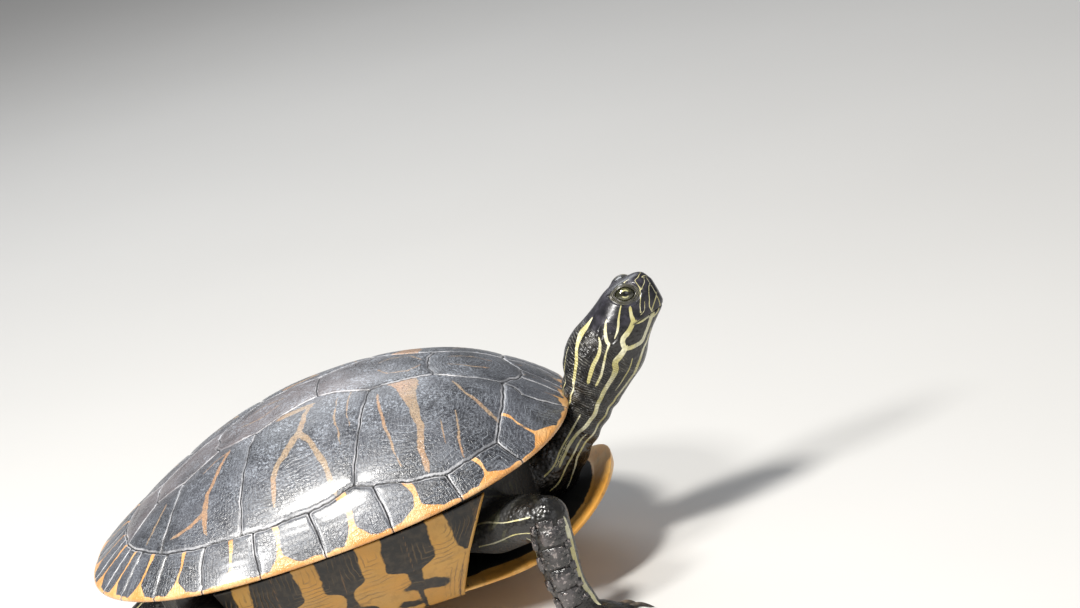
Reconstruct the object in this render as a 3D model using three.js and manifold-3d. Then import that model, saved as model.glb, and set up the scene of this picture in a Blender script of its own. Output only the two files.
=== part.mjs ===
// A basking cooter turtle, life size and still, as a museum model.
// Units are millimetres, +Z is up, +X is the way the turtle faces and +Y is its left.
// The shell is drawn in its own frame (origin at the middle of the rim), then pitched and raised
// so that the rear of the plastron, the four feet and the tail rest on the floor at z = 0.
import * as THREE from 'three';
import { mergeVertices } from 'three/addons/utils/BufferGeometryUtils.js';
import Module from 'manifold-3d';

const wasm = await Module();
wasm.setup();

// ---- Driving dimensions -------------------------------------------------------------------

const shellHalfLength = 130;      // straight carapace length 260
const shellHalfWidth = 97;        // carapace width 194
const domeHeight = 56;            // top of the carapace above the rim
const domeCentreX = 22;           // the dome is highest a little in front of the middle
const rimPower = 2.57;            // superellipse power of the rim seen from above
const rimRiseFront = 6.4;         // the rim turns up at the front and at the rear
const rimRiseRear = 7.1;
const rimRiseSide = 2;
const domeBulgeSide = 0.346;      // extra fullness of the dome towards the flanks
const domeBulgeFront = 0.071;
const domeBulgeRear = -0.057;
const carapaceThickness = 4.5;
const flangeThickness = 6.5;      // marginal scutes where they leave the skin
const flangeInset = 0.84;         // share of the radius where the free flange ends
const rimScallop = 1.1;           // depth of the notches between the rear marginals

const plastronDepth = 54.6;       // underside of the plastron below the rim
const plastronThickness = 5;
const frontLobeStart = 75;
const frontLobeLength = 61;
const frontLobeHalfWidth = 63.5;
const frontLobePower = 2.32;
const frontLobeCurl = 19;         // the front lobe sweeps upward to its lip
const rearLobeStart = -46;
const rearLobeLength = 72;
const rearLobeHalfWidth = 58;
const rearLobePower = 3;
const rearLobeCurl = 3.6;
const analNotch = 8;
const bridgeFrontTop = 82;        // x of the bridge's corners
const bridgeFrontFoot = 63;
const bridgeRearTop = -60;
const bridgeRearFoot = -48;
const bridgeThickness = 5;

const shellPitch = THREE.MathUtils.degToRad(8);
const shellHeight = 66;             // rim centre above the floor
const gap = 0.3;                  // clear space between neighbouring pieces
const finest = 0.12;              // slivers thinner than this are merged away after a cut
const footFlat = 0.4;             // how far a sole is pressed into its flat

const headPitch = THREE.MathUtils.degToRad(17);
const beakTip = new THREE.Vector3(184.5, 0, 61 + shellHeight);
const eyeRadius = 5.8;
const eyePlace = { back: 13.2, up: 15.4, out: 6.5 };
const mouthRise = THREE.MathUtils.degToRad(4);
const jawLength = 21;

// ---- Small helpers ------------------------------------------------------------------------

const signedPower = (value, power) => Math.sign(value) * Math.abs(value) ** power;
const clamp01 = (value) => Math.min(1, Math.max(0, value));
const smooth = (value) => clamp01(value) ** 2 * (3 - 2 * clamp01(value));

const shellToWorld = new THREE.Matrix4()
  .makeTranslation(0, 0, shellHeight)
  .multiply(new THREE.Matrix4().makeRotationY(-shellPitch));

// A closed surface from rings of points, with a fan to the middle of each end ring.
function closedLoft(rings) {
  const sides = rings[0].length;
  const positions = [];
  const index = [];
  const put = (p) => positions.push(p.x, p.y, p.z);
  rings.forEach((ring) => ring.forEach(put));
  const middle = (ring) => ring.reduce((sum, p) => sum.add(p), new THREE.Vector3()).divideScalar(sides);
  put(middle(rings[0]));
  put(middle(rings[rings.length - 1]));
  const startPole = rings.length * sides;
  const endPole = startPole + 1;
  const last = (rings.length - 1) * sides;
  for (let j = 0; j < sides; j += 1) {
    const k = (j + 1) % sides;
    for (let i = 0; i < rings.length - 1; i += 1) {
      const a = i * sides;
      const b = a + sides;
      index.push(a + j, a + k, b + k, a + j, b + k, b + j);
    }
    index.push(startPole, k, j);
    index.push(endPole, last + j, last + k);
  }
  const geometry = new THREE.BufferGeometry();
  geometry.setAttribute('position', new THREE.Float32BufferAttribute(positions, 3));
  geometry.setIndex(index);
  return geometry;
}

// The same surface as a solid, turned right side out whichever way its rings run.
function toSolid(geometry) {
  const bare = geometry.clone();
  bare.deleteAttribute('normal');
  bare.deleteAttribute('uv');
  const merged = mergeVertices(bare, 1e-4);
  const position = merged.getAttribute('position').array;
  const corners = [];
  for (let i = 0; i < merged.index.count; i += 3) {
    const [a, b, c] = [0, 1, 2].map((k) => merged.index.getX(i + k));
    if (a !== b && b !== c && c !== a) corners.push(a, b, c);
  }
  const volume = corners.reduce((sum, _, i) => (i % 3 ? sum : sum + tetra(position, corners, i)), 0);
  if (volume < 0) corners.reverse();
  const mesh = new wasm.Mesh({
    numProp: 3,
    vertProperties: new Float32Array(position),
    triVerts: new Uint32Array(corners),
  });
  return new wasm.Manifold(mesh);
}

function tetra(position, corners, i) {
  const [a, b, c] = [0, 1, 2].map((k) => new THREE.Vector3().fromArray(position, 3 * corners[i + k]));
  return a.dot(b.cross(c)) / 6;
}

function toGeometry(solid) {
  const mesh = solid.getMesh();
  const geometry = new THREE.BufferGeometry();
  geometry.setAttribute('position', new THREE.Float32BufferAttribute(mesh.vertProperties, mesh.numProp));
  geometry.setIndex(Array.from(mesh.triVerts));
  return geometry;
}

const boxSolid = (size, matrix) => toSolid(new THREE.BoxGeometry(...size).applyMatrix4(matrix));
const below = boxSolid([800, 800, 100], new THREE.Matrix4().makeTranslation(0, 0, -50));
const largestPiece = (solid) => solid.decompose().sort((a, b) => b.volume() - a.volume())[0].simplify(finest);
const aboveFloor = (solid) => solid.subtract(below);

// The space a solid takes with a gap left round it: the solid moved a little each way.
function withClearance(solid) {
  const moves = [[1, 0, 0], [-1, 0, 0], [0, 1, 0], [0, -1, 0], [0, 0, 1], [0, 0, -1]];
  return moves.reduce((sum, move) => sum.add(solid.translate(move.map((v) => v * gap))), solid);
}

// ---- Shell formulas, in the shell's own frame -----------------------------------------------

// The rim in the direction (dx, dy) from the dome's centre: its distance and its x.
function rimAlong(dx, dy) {
  let near = 0;
  let far = 2 * shellHalfLength;
  for (let i = 0; i < 40; i += 1) {
    const reach = (near + far) / 2;
    const x = Math.abs(domeCentreX + reach * dx) / shellHalfLength;
    const y = Math.abs(reach * dy) / shellHalfWidth;
    if (x ** rimPower + y ** rimPower < 1) near = reach;
    else far = reach;
  }
  return { reach: near, x: (domeCentreX + near * dx) / shellHalfLength };
}

// How far the rim stands in from the plain superellipse: notches between the rear marginals.
function scallop(angle) {
  const marginals = 24;
  const rearShare = smooth((-Math.cos(angle) - 0.25) / 0.5);
  return rimScallop * rearShare * Math.cos(angle * marginals / 2) ** 6;
}

// A point of the carapace's upper face; share runs from 0 at the top to 1 at the rim.
function carapacePoint(angle, share) {
  const rim = rimAlong(Math.cos(angle), Math.sin(angle));
  const lengthwise = Math.abs(rim.x) ** rimPower;
  const front = rim.x > 0;
  const bulgeEnd = front ? domeBulgeFront : domeBulgeRear;
  const bulge = domeBulgeSide + (bulgeEnd - domeBulgeSide) * lengthwise;
  const rise = (front ? rimRiseFront : rimRiseRear) * rim.x ** 2 + rimRiseSide * (1 - rim.x ** 2);
  const reach = (rim.reach - scallop(angle) * share ** 8) * share;
  const dome = domeHeight * (1 - share ** 2) * (1 + bulge * share ** 2);
  return new THREE.Vector3(
    domeCentreX + reach * Math.cos(angle),
    reach * Math.sin(angle),
    rise * share ** 3 + dome,
  );
}

function rimHalfWidth(x) {
  return shellHalfWidth * (1 - Math.min(1, Math.abs(x / shellHalfLength)) ** rimPower) ** (1 / rimPower);
}

function plastronHalfWidth(x) {
  if (x > frontLobeStart) {
    const u = Math.min(1, (x - frontLobeStart) / frontLobeLength);
    return frontLobeHalfWidth * (1 - u ** frontLobePower) ** (1 / frontLobePower);
  }
  if (x < rearLobeStart) {
    const u = Math.min(1, (rearLobeStart - x) / rearLobeLength);
    return rearLobeHalfWidth * (1 - u ** rearLobePower) ** (1 / rearLobePower);
  }
  const along = (x - rearLobeStart) / (frontLobeStart - rearLobeStart);
  return rearLobeHalfWidth + (frontLobeHalfWidth - rearLobeHalfWidth) * smooth(along);
}

function plastronUnderside(x) {
  const front = Math.max(0, (x - frontLobeStart) / frontLobeLength);
  const rear = Math.max(0, (rearLobeStart - 12 - x) / (rearLobeLength - 12));
  return -plastronDepth + frontLobeCurl * front ** 2 + rearLobeCurl * rear ** 2;
}

// ---- Shell pieces -------------------------------------------------------------------------

// Dome, rim edge and underside as one run of rings from the top, over the edge and back inside.
function carapaceGeometry(grow) {
  const around = 48;
  const outside = [0.14, 0.34, 0.53, 0.7, 0.84, 0.94, 1];
  const inside = [0.96, flangeInset, 0.72, 0.5, 0.25];
  const rings = outside.map((share) => ({ share, drop: -grow }));
  rings.push({ share: 1, drop: 2.6 + grow });
  inside.forEach((share) => {
    const flange = smooth((share - 0.72) / (flangeInset - 0.72));
    const thickness = carapaceThickness + (flangeThickness - carapaceThickness) * flange;
    const edge = share > 0.95 ? 1.6 : 0;
    rings.push({ share, drop: thickness - edge + grow });
  });
  return closedLoft(rings.map(({ share, drop }) => Array.from({ length: around }, (_, j) => {
    const angle = (2 * Math.PI * j) / around;
    const point = carapacePoint(angle, share);
    const spread = share === 1 ? 1 + (grow - 0.4 * (drop > 0)) / shellHalfWidth : 1;
    return new THREE.Vector3(point.x * spread, point.y * spread, point.z - drop);
  }))).applyMatrix4(shellToWorld);
}

// The plastron is a loft along x of flat rounded sections, notched at the tail.
function plastronGeometry(grow) {
  const stations = 20;
  const sides = 14;
  const front = frontLobeStart + frontLobeLength;
  const rear = rearLobeStart - rearLobeLength;
  const rings = [];
  for (let i = 0; i <= stations; i += 1) {
    const along = 0.5 - 0.5 * Math.cos((Math.PI * (i + 0.25)) / (stations + 0.5));
    const x = rear + (front - rear) * along;
    const width = plastronHalfWidth(x) + grow;
    const middle = plastronUnderside(x) + plastronThickness / 2;
    const half = plastronThickness / 2 + grow;
    const nearTail = smooth((rearLobeStart - 40 - x) / 30);
    rings.push(Array.from({ length: sides }, (_, j) => {
      const turn = (2 * Math.PI * (j + 0.5)) / sides;
      const y = width * signedPower(Math.cos(turn), 0.8);
      const z = middle + half * signedPower(Math.sin(turn), 0.35);
      const notch = analNotch * nearTail * clamp01(1 - Math.abs(y) / 26);
      return new THREE.Vector3(x + notch, y, z);
    }));
  }
  return closedLoft(rings).applyMatrix4(shellToWorld);
}

// The bridge joins the plastron to the side marginals, one wall on each side.
function bridgeGeometry(side) {
  const stations = 6;
  const steps = 3;
  const rings = [];
  for (let i = 0; i <= stations; i += 1) {
    const along = i / stations;
    const outer = [];
    const inner = [];
    for (let k = 0; k <= steps; k += 1) {
      const rise = k / steps;
      const rearX = bridgeRearFoot + (bridgeRearTop - bridgeRearFoot) * rise;
      const frontX = bridgeFrontFoot + (bridgeFrontTop - bridgeFrontFoot) * rise;
      const x = rearX + (frontX - rearX) * along;
      const foot = plastronHalfWidth(x) + gap;
      const top = rimHalfWidth(x) - 3.5;
      const swell = 3 * Math.sin(Math.PI * rise);
      const y = foot + (top - foot) * rise ** 0.85 + swell;
      const footZ = plastronUnderside(x) + 0.6;
      const topZ = -1.4;
      const z = footZ + (topZ - footZ) * rise;
      outer.push(new THREE.Vector3(x, side * y, z));
      inner.push(new THREE.Vector3(x, side * (y - bridgeThickness), z + 2.5 * (1 - rise)));
    }
    rings.push([...outer, ...inner.reverse()]);
  }
  return closedLoft(rings).applyMatrix4(shellToWorld);
}

// ---- Flesh ----------------------------------------------------------------------------------

// The trunk fills the shell: flat below, domed above, with slanting flanks.
function trunkGeometry() {
  const stations = 10;
  const across = 8;
  const rear = -101;
  const front = 101;
  const rings = [];
  for (let i = 0; i <= stations; i += 1) {
    const along = 0.5 - 0.5 * Math.cos((Math.PI * i) / stations);
    const x = rear + (front - rear) * along;
    const end = 1 - 0.42 * smooth((Math.abs(x) - 84) / 17);
    const topHalf = 0.8 * rimHalfWidth(x) * end;
    const footHalf = Math.min(plastronHalfWidth(x) - 9, 0.66 * rimHalfWidth(x)) * end;
    const footZ = plastronUnderside(x) + plastronThickness + 0.6 + 16 * (1 - end);
    const ring = [];
    for (let j = 0; j <= across; j += 1) {
      const y = topHalf * Math.sin((Math.PI / 2) * (1 - (2 * j) / across));
      ring.push(new THREE.Vector3(x, y, trunkTop(x, y) - 18 * (1 - end)));
    }
    for (let j = 0; j <= across / 2; j += 1) {
      ring.push(new THREE.Vector3(x, footHalf * ((4 * j) / across - 1), footZ));
    }
    rings.push(ring);
  }
  return closedLoft(rings).applyMatrix4(shellToWorld);
}

function trunkTop(x, y) {
  const dx = x - domeCentreX;
  const distance = Math.max(1e-6, Math.hypot(dx, y));
  const rim = rimAlong(dx / distance, y / distance);
  const share = Math.min(0.9, distance / rim.reach);
  return carapacePoint(Math.atan2(y, dx), share).z - carapaceThickness - 3;
}

// A limb, neck or tail: rings across a smooth path. A station is [x, y, z, width, depth] in
// world millimetres; width lies along the sideways vector and depth across it.
function limbGeometry(stations, sideways, sides, count) {
  const path = new THREE.CatmullRomCurve3(stations.map((s) => new THREE.Vector3(s[0], s[1], s[2])));
  const rings = [];
  for (let i = 0; i <= count; i += 1) {
    const along = i / count;
    const centre = path.getPoint(along);
    const tangent = path.getTangent(along);
    const u = new THREE.Vector3(...sideways);
    u.addScaledVector(tangent, -u.dot(tangent)).normalize();
    const v = new THREE.Vector3().crossVectors(tangent, u);
    const place = along * (stations.length - 1);
    const k = Math.min(stations.length - 2, Math.floor(place));
    const mix = smooth(place - k);
    const width = stations[k][3] * (1 - mix) + stations[k + 1][3] * mix;
    const depth = stations[k][4] * (1 - mix) + stations[k + 1][4] * mix;
    rings.push(Array.from({ length: sides }, (_, j) => {
      const turn = (2 * Math.PI * j) / sides;
      return centre.clone()
        .addScaledVector(u, width * Math.cos(turn))
        .addScaledVector(v, depth * Math.sin(turn));
    }));
  }
  return closedLoft(rings);
}

// ---- Head and neck --------------------------------------------------------------------------

const headFrame = new THREE.Matrix4()
  .makeTranslation(beakTip.x, beakTip.y, beakTip.z)
  .multiply(new THREE.Matrix4().makeRotationY(-headPitch));

// Sections of the head along its own axis: distance behind the beak tip, the height of the
// crown and of the chin line, half the width, and how boxy the section is.
const headSections = [
  { back: 0.4, top: 12.5, foot: 1.5, half: 3.6, power: 0.8 },
  { back: 2.2, top: 16.6, foot: -0.8, half: 6.6, power: 0.8 },
  { back: 5.5, top: 19.6, foot: -3, half: 9, power: 0.82 },
  { back: 10, top: 20.8, foot: -5.4, half: 11.4, power: 0.84 },
  { back: 16, top: 20.9, foot: -7.6, half: 13.8, power: 0.86 },
  { back: 23, top: 20.2, foot: -10, half: 15.8, power: 0.9 },
  { back: 31, top: 18.4, foot: -13, half: 17.4, power: 0.95 },
  { back: 39, top: 15.2, foot: -14, half: 16.8, power: 1 },
  { back: 46, top: 11, foot: -12, half: 13.6, power: 1 },
  { back: 51, top: 5, foot: -7, half: 8, power: 1 },
];

function headGeometry() {
  const sides = 14;
  return closedLoft(headSections.map((s) => Array.from({ length: sides }, (_, j) => {
    const turn = (2 * Math.PI * j) / sides;
    const middle = (s.top + s.foot) / 2;
    const y = s.half * signedPower(Math.cos(turn), s.power);
    const z = middle + ((s.top - s.foot) / 2) * signedPower(Math.sin(turn), s.power);
    return new THREE.Vector3(-s.back, y, z);
  }))).applyMatrix4(headFrame);
}

const neckStations = [
  [82, 0, -12, 21, 16], [104, 0, -6, 18, 14.5], [120, 0, 3, 16, 13], [133.5, 0, 12.5, 15, 12.6],
  [142.5, 0, 24, 15.5, 14.8], [148, 0, 36, 16.8, 17.8], [153.5, 0, 48, 17.2, 18.6],
  [159, 0, 60, 15, 15],
].map(([x, y, z, w, d]) => [x, y, z + shellHeight, w, d]);

function neckGeometry() {
  return limbGeometry(neckStations, [0, 1, 0], 12, 10);
}

function eyeGeometry(side) {
  const place = new THREE.Vector3(-eyePlace.back, side * eyePlace.out, eyePlace.up).applyMatrix4(headFrame);
  return new THREE.SphereGeometry(eyeRadius, 12, 8).translate(place.x, place.y, place.z);
}

function eyeSocket(side) {
  const place = new THREE.Vector3(-eyePlace.back, side * eyePlace.out, eyePlace.up).applyMatrix4(headFrame);
  return toSolid(new THREE.SphereGeometry(eyeRadius + gap, 12, 8).translate(place.x, place.y, place.z));
}

// The space of the lower jaw: everything in front of its hinge and under the mouth line.
function jawRegion(grow) {
  const depth = 40;
  const matrix = headFrame.clone()
    .multiply(new THREE.Matrix4().makeTranslation(4, 0, 0.6))
    .multiply(new THREE.Matrix4().makeRotationY(mouthRise))
    .multiply(new THREE.Matrix4().makeTranslation(-jawLength / 2 + 2, 0, -depth / 2));
  return boxSolid([jawLength + 4 + 2 * grow, 60, depth + 2 * grow], matrix);
}

// ---- Legs -----------------------------------------------------------------------------------

// Stations run from inside the shell over the elbow or knee to the ankle, then the foot lies on
// the floor with its toes fanned about the heading. All heights are above the floor.
const kneeStation = 3;
const frontLegRight = {
  name: ['upper_arm_right', 'forearm_right', 'hand_right'],
  stations: [
    [70, -42, 42, 15, 17], [84, -58, 50, 14, 16], [98, -73, 56, 12, 14], [109, -82, 58, 10.5, 11],
    [112.5, -84, 47, 9.8, 10.8], [114, -84.5, 34, 9.6, 10.4], [115.5, -85, 22, 9.4, 9.6],
    [118, -86, 11, 9.8, 8.4], [119.5, -86.5, 5, 8, 6],
  ],
  bend: { at: [108, -80.5, 53], normal: [0.66, -0.42, -0.62] },
  ankle: { at: [115.6, -85, 21], normal: [0.16, -0.05, -0.98] },
  sole: [121, -87, 0],
  heading: -14,
  palm: [15, 12.5, 8],
  toes: [-38, -19, 0, 19, 40],
  toeLength: [9, 11, 12, 11, 8],
  clawLength: [8, 10, 10.5, 9.5, 7],
  toeRadius: 3.1,
};

const frontLegLeft = {
  name: ['upper_arm_left', 'forearm_left', 'hand_left'],
  stations: [
    [70, 42, 42, 15, 17], [79, 58, 49, 14, 16], [87, 72, 53, 12, 14], [92, 81, 54, 10.5, 11],
    [91.5, 83, 45, 9.8, 10.8], [89.5, 82.5, 33, 9.6, 10.4], [88, 81.5, 22, 9.4, 9.6],
    [88, 80, 11, 9.8, 8.4], [89.5, 80, 5, 8, 6],
  ],
  bend: { at: [91, 80, 51], normal: [0.5, 0.53, -0.69] },
  ankle: { at: [86.6, 81.4, 21], normal: [0.05, -0.1, -0.99] },
  sole: [91, 80, 0],
  heading: 12,
  palm: [14, 12.5, 8],
  toes: [-40, -19, 0, 19, 38],
  toeLength: [8, 11, 12, 11, 9],
  clawLength: [7, 9.5, 10.5, 10, 8],
  toeRadius: 3.1,
};

const hindLeg = (side, shift, heading) => ({
  name: side < 0 ? ['thigh_right', 'shank_right', 'foot_right'] : ['thigh_left', 'shank_left', 'foot_left'],
  stations: [
    [-60 + shift, side * 36, 30, 15, 17], [-64 + shift, side * 54, 33, 16, 18],
    [-67 + shift, side * 72, 34, 15, 17], [-70 + shift, side * 89, 31, 13.5, 14.5],
    [-78 + shift, side * 97, 25, 11.5, 11.5], [-87 + shift, side * 99, 17, 10.5, 9.5],
    [-89 + shift, side * 102, 10, 10.5, 8], [-88 + shift, side * 105, 5.5, 8, 5],
  ],
  bend: { at: [-72 + shift, side * 91, 29], normal: [-0.62, side * 0.66, -0.42] },
  ankle: { at: [-86.5 + shift, side * 99.2, 17.5], normal: [-0.62, side * 0.2, -0.76] },
  sole: [-86 + shift, side * 107, 0],
  heading,
  palm: [19, 14.5, 7.5],
  toes: [-40, -20, 0, 20, 40],
  toeLength: [11, 13, 14, 12, 8],
  clawLength: [7, 8.5, 9, 8, 5],
  toeRadius: 3.2,
});

// A toe with its claw, pointing along the angle from the middle of the palm.
function toeSolid(leg, k) {
  const turn = THREE.MathUtils.degToRad(leg.heading + leg.toes[k]);
  const out = new THREE.Vector3(Math.cos(turn), Math.sin(turn), 0);
  const sole = new THREE.Vector3(...leg.sole);
  const start = sole.clone().addScaledVector(out, leg.palm[0] * 0.45);
  const radius = leg.toeRadius;
  const knuckle = leg.palm[0] * 0.45 + leg.toeLength[k] * 0.5;
  const tip = leg.palm[0] * 0.62 + leg.toeLength[k];
  const clawTip = tip + leg.clawLength[k];
  const at = (reach, height) => {
    const p = sole.clone().addScaledVector(out, reach);
    return [p.x, p.y, height];
  };
  const toe = limbGeometry([
    [start.x, start.y, radius + 1.4, radius * 1.25, radius * 1.1],
    [...at(knuckle, radius + 0.9), radius * 1.15, radius * 1.05],
    [...at(tip, radius - 0.2), radius * 0.85, radius * 0.8],
  ], [-out.y, out.x, 0], 6, 2);
  const claw = limbGeometry([
    [...at(tip - 2.5, radius + 0.2), 1.7, 1.9],
    [...at((tip + clawTip) / 2, radius - 0.1), 1.35, 1.5],
    [...at(clawTip, 0.9), 0.45, 0.5],
  ], [-out.y, out.x, 0], 4, 2);
  return toSolid(toe).add(toSolid(claw));
}

// The palm or sole is a low rounded pad under the ankle.
function padSolid(leg) {
  const [length, width, height] = leg.palm;
  const matrix = new THREE.Matrix4()
    .makeTranslation(leg.sole[0], leg.sole[1], height * 0.62 - footFlat)
    .multiply(new THREE.Matrix4().makeRotationZ(THREE.MathUtils.degToRad(leg.heading)))
    .multiply(new THREE.Matrix4().makeScale(length, width, height * 0.75));
  return toSolid(new THREE.SphereGeometry(1, 12, 6).applyMatrix4(matrix));
}

// The upper and the lower limb are two lofts that meet in a round elbow or knee.
function legSolid(leg) {
  const [x, y, z, width, depth] = leg.stations[kneeStation];
  const knee = new THREE.SphereGeometry(Math.max(width, depth), 8, 5).translate(x, y, z);
  const upper = limbGeometry(leg.stations.slice(0, kneeStation + 1), [0, 0, 1], 9, 4);
  const lower = limbGeometry(leg.stations.slice(kneeStation), [1, 0, 0], 9, 6);
  let solid = toSolid(upper).add(toSolid(knee)).add(toSolid(lower)).add(padSolid(leg));
  leg.toes.forEach((_, k) => {
    solid = solid.add(toeSolid(leg, k));
  });
  return aboveFloor(solid);
}

const tailStations = [
  [-88, 0, 28, 13, 12], [-103, 0, 24, 11, 10], [-117, 1, 16, 8.6, 8.4], [-130, 4, 8.6, 6.2, 6.2],
  [-142, 10, 4.6, 4.4, 4.4], [-152, 18, 2.6, 2.8, 2.8], [-159, 27, 1.3, 1.5, 1.6],
];

// ---- Assembly -------------------------------------------------------------------------------

const pieces = [];
const keep = (name, solid, look) => pieces.push({ name, solid, look });

const looks = {
  carapace: { color: 0x34373b, roughness: 0.42 },
  plastron: { color: 0xd9993f, roughness: 0.4 },
  bridge: { color: 0x9a7330, roughness: 0.4 },
  skin: { color: 0x23251e, roughness: 0.62 },
  eye: { color: 0x8f9a55, roughness: 0.08 },
};

const carapace = toSolid(carapaceGeometry(0));
const plastron = aboveFloor(toSolid(plastronGeometry(0)));
const shellPlates = toSolid(carapaceGeometry(gap)).add(toSolid(plastronGeometry(gap)));
const bridgeRight = toSolid(bridgeGeometry(-1)).subtract(shellPlates);
const bridgeLeft = toSolid(bridgeGeometry(1)).subtract(shellPlates);
const shellSpace = shellPlates.add(withClearance(bridgeRight)).add(withClearance(bridgeLeft));
const trunk = toSolid(trunkGeometry()).subtract(shellSpace);
const trunkSpace = withClearance(trunk);

keep('carapace', carapace, looks.carapace);
keep('plastron', plastron, looks.plastron);
keep('bridge_right', bridgeRight, looks.bridge);
keep('bridge_left', bridgeLeft, looks.bridge);
keep('trunk', trunk, looks.skin);

// A plane through a point, as manifold wants it: unit normal and its offset from the origin.
function plane(at, normal) {
  const n = new THREE.Vector3(...normal).normalize();
  return { normal: n.toArray(), offset: n.dot(new THREE.Vector3(...at)) };
}

const beyond = (solid, { normal, offset }) => solid.trimByPlane(normal, offset + gap / 2);
const before = (solid, { normal, offset }) => solid.trimByPlane(normal.map((v) => -v), -offset + gap / 2);

const neckAndHead = toSolid(neckGeometry()).add(toSolid(headGeometry())).subtract(shellSpace).subtract(trunkSpace);
const headCut = plane([152, 0, 50 + shellHeight], [0.86, 0, 0.5]);
const sockets = eyeSocket(1).add(eyeSocket(-1));
const wholeHead = beyond(neckAndHead, headCut).subtract(sockets);
keep('neck', before(neckAndHead, headCut), looks.skin);
keep('head', wholeHead.subtract(jawRegion(gap / 2)), looks.skin);
keep('jaw', wholeHead.intersect(jawRegion(-gap / 2)), looks.skin);
keep('eye_right', toSolid(eyeGeometry(-1)), looks.eye);
keep('eye_left', toSolid(eyeGeometry(1)), looks.eye);

const legs = [frontLegRight, frontLegLeft, hindLeg(-1, 0, -42), hindLeg(1, 5, 50)];
legs.forEach((leg) => {
  const solid = legSolid(leg).subtract(shellSpace).subtract(trunkSpace);
  const bend = plane(leg.bend.at, leg.bend.normal);
  const ankle = plane(leg.ankle.at, leg.ankle.normal);
  const lower = beyond(solid, bend);
  keep(leg.name[0], before(solid, bend), looks.skin);
  keep(leg.name[1], before(lower, ankle), looks.skin);
  keep(leg.name[2], beyond(lower, ankle), looks.skin);
});

const tail = aboveFloor(toSolid(limbGeometry(tailStations, [0, 1, 0], 10, 12)));
keep('tail', tail.subtract(shellSpace).subtract(trunkSpace), looks.skin);

const turtle = new THREE.Group();
turtle.name = 'cooter_turtle';
pieces.forEach(({ name, solid, look }) => {
  const mesh = new THREE.Mesh(toGeometry(largestPiece(solid)), new THREE.MeshStandardMaterial({ ...look, metalness: 0 }));
  mesh.name = name;
  turtle.add(mesh);
});

// The origin is on the floor under the middle of the whole figure.
turtle.updateMatrixWorld(true);
const reach = new THREE.Box3().setFromObject(turtle);
const centre = reach.getCenter(new THREE.Vector3());
turtle.position.set(-centre.x, -centre.y, -reach.min.z);

export default turtle;
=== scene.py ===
"""The looks of a life-size basking cooter turtle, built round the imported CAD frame.

The frame is in metres: +X is the way the turtle faces, +Y its left, +Z up. Shapes are worked
out in millimetres from the middle of the shell's rim, as the CAD does it: "shell" points are in
the shell's own frame, "body" points are level with the floor, and place() turns body
millimetres into metres in the frame.
"""

import math

import bmesh
import bpy
import numpy as np
from mathutils import Matrix, Vector


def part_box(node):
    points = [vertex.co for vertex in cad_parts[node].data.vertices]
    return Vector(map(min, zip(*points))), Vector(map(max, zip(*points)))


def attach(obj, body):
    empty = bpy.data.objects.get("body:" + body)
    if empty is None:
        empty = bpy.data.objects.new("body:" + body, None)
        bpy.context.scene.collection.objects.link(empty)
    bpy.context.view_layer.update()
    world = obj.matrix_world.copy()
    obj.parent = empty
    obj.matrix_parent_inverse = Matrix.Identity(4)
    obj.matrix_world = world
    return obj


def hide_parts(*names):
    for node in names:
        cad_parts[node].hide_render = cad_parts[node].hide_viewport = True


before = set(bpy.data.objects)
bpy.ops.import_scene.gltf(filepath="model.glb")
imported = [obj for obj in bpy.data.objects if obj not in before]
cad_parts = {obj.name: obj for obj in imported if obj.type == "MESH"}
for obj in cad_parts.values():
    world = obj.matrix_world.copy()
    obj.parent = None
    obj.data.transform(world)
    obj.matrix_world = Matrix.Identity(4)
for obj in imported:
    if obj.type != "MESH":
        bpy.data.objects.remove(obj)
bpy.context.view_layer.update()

# ---- Driving dimensions, in millimetres and degrees -------------------------------------------
# They are the CAD's, apart from a fuller dome at the front, a longer front lobe and a bridge
# that stands further back on the plastron.

SHELL_HALF_LENGTH = 130.0
SHELL_HALF_WIDTH = 97.0
DOME_HEIGHT = 56.0
DOME_CENTRE_X = 22.0
RIM_POWER = 2.57
RIM_RISE = {"front": 6.4, "rear": 7.1, "side": 2.0}
DOME_BULGE = {"front": 0.071, "rear": -0.057, "side": 0.346}
FRONT_FULLNESS = 4.0
SHELL_PITCH = math.radians(8)
SHELL_HEIGHT = 66.0

PLASTRON_DEPTH = 54.6
PLASTRON_THICKNESS = 5.0
FRONT_LOBE = {"start": 75.0, "length": 64.5, "half": 65.0, "power": 2.32, "curl": 17.5}
REAR_LOBE = {"start": -46.0, "length": 72.0, "half": 58.0, "power": 3.0, "curl": 3.6}
ANAL_NOTCH = 8.0
BRIDGE_FRONT = {"top": 82.0, "foot": 52.0}
BRIDGE_REAR = {"top": -60.0, "foot": -48.0}
BRIDGE_THICKNESS = 3.5

carapace_low, carapace_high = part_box("carapace")
RIM_REAR_REACH = SHELL_HALF_LENGTH * math.cos(SHELL_PITCH) + RIM_RISE["rear"] * math.sin(SHELL_PITCH)
CARAPACE_MIDDLE_Y = (carapace_low.y + carapace_high.y) / 2
ORIGIN = np.array([carapace_low.x * 1000 + RIM_REAR_REACH, CARAPACE_MIDDLE_Y * 1000, SHELL_HEIGHT])
HALF_TURN, FULL_TURN = math.pi, 2 * math.pi

# ---- Small helpers ----------------------------------------------------------------------------


def smooth(value):
    """An S-curve from 0 to 1."""
    v = np.clip(value, 0, 1)
    return v * v * (3 - 2 * v)


def bell(value, width):
    """1 at 0 and next to nothing beyond twice the width."""
    return np.exp(-((value / width) ** 2))


def signed_power(value, power):
    return np.sign(value) * np.abs(value) ** power


def pitched(points, angle):
    """Points turned about the y axis so that what lies ahead rises."""
    p = np.asarray(points, float)
    c, s = math.cos(angle), math.sin(angle)
    return np.stack([p[..., 0] * c - p[..., 2] * s, p[..., 1], p[..., 0] * s + p[..., 2] * c], -1)


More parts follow.
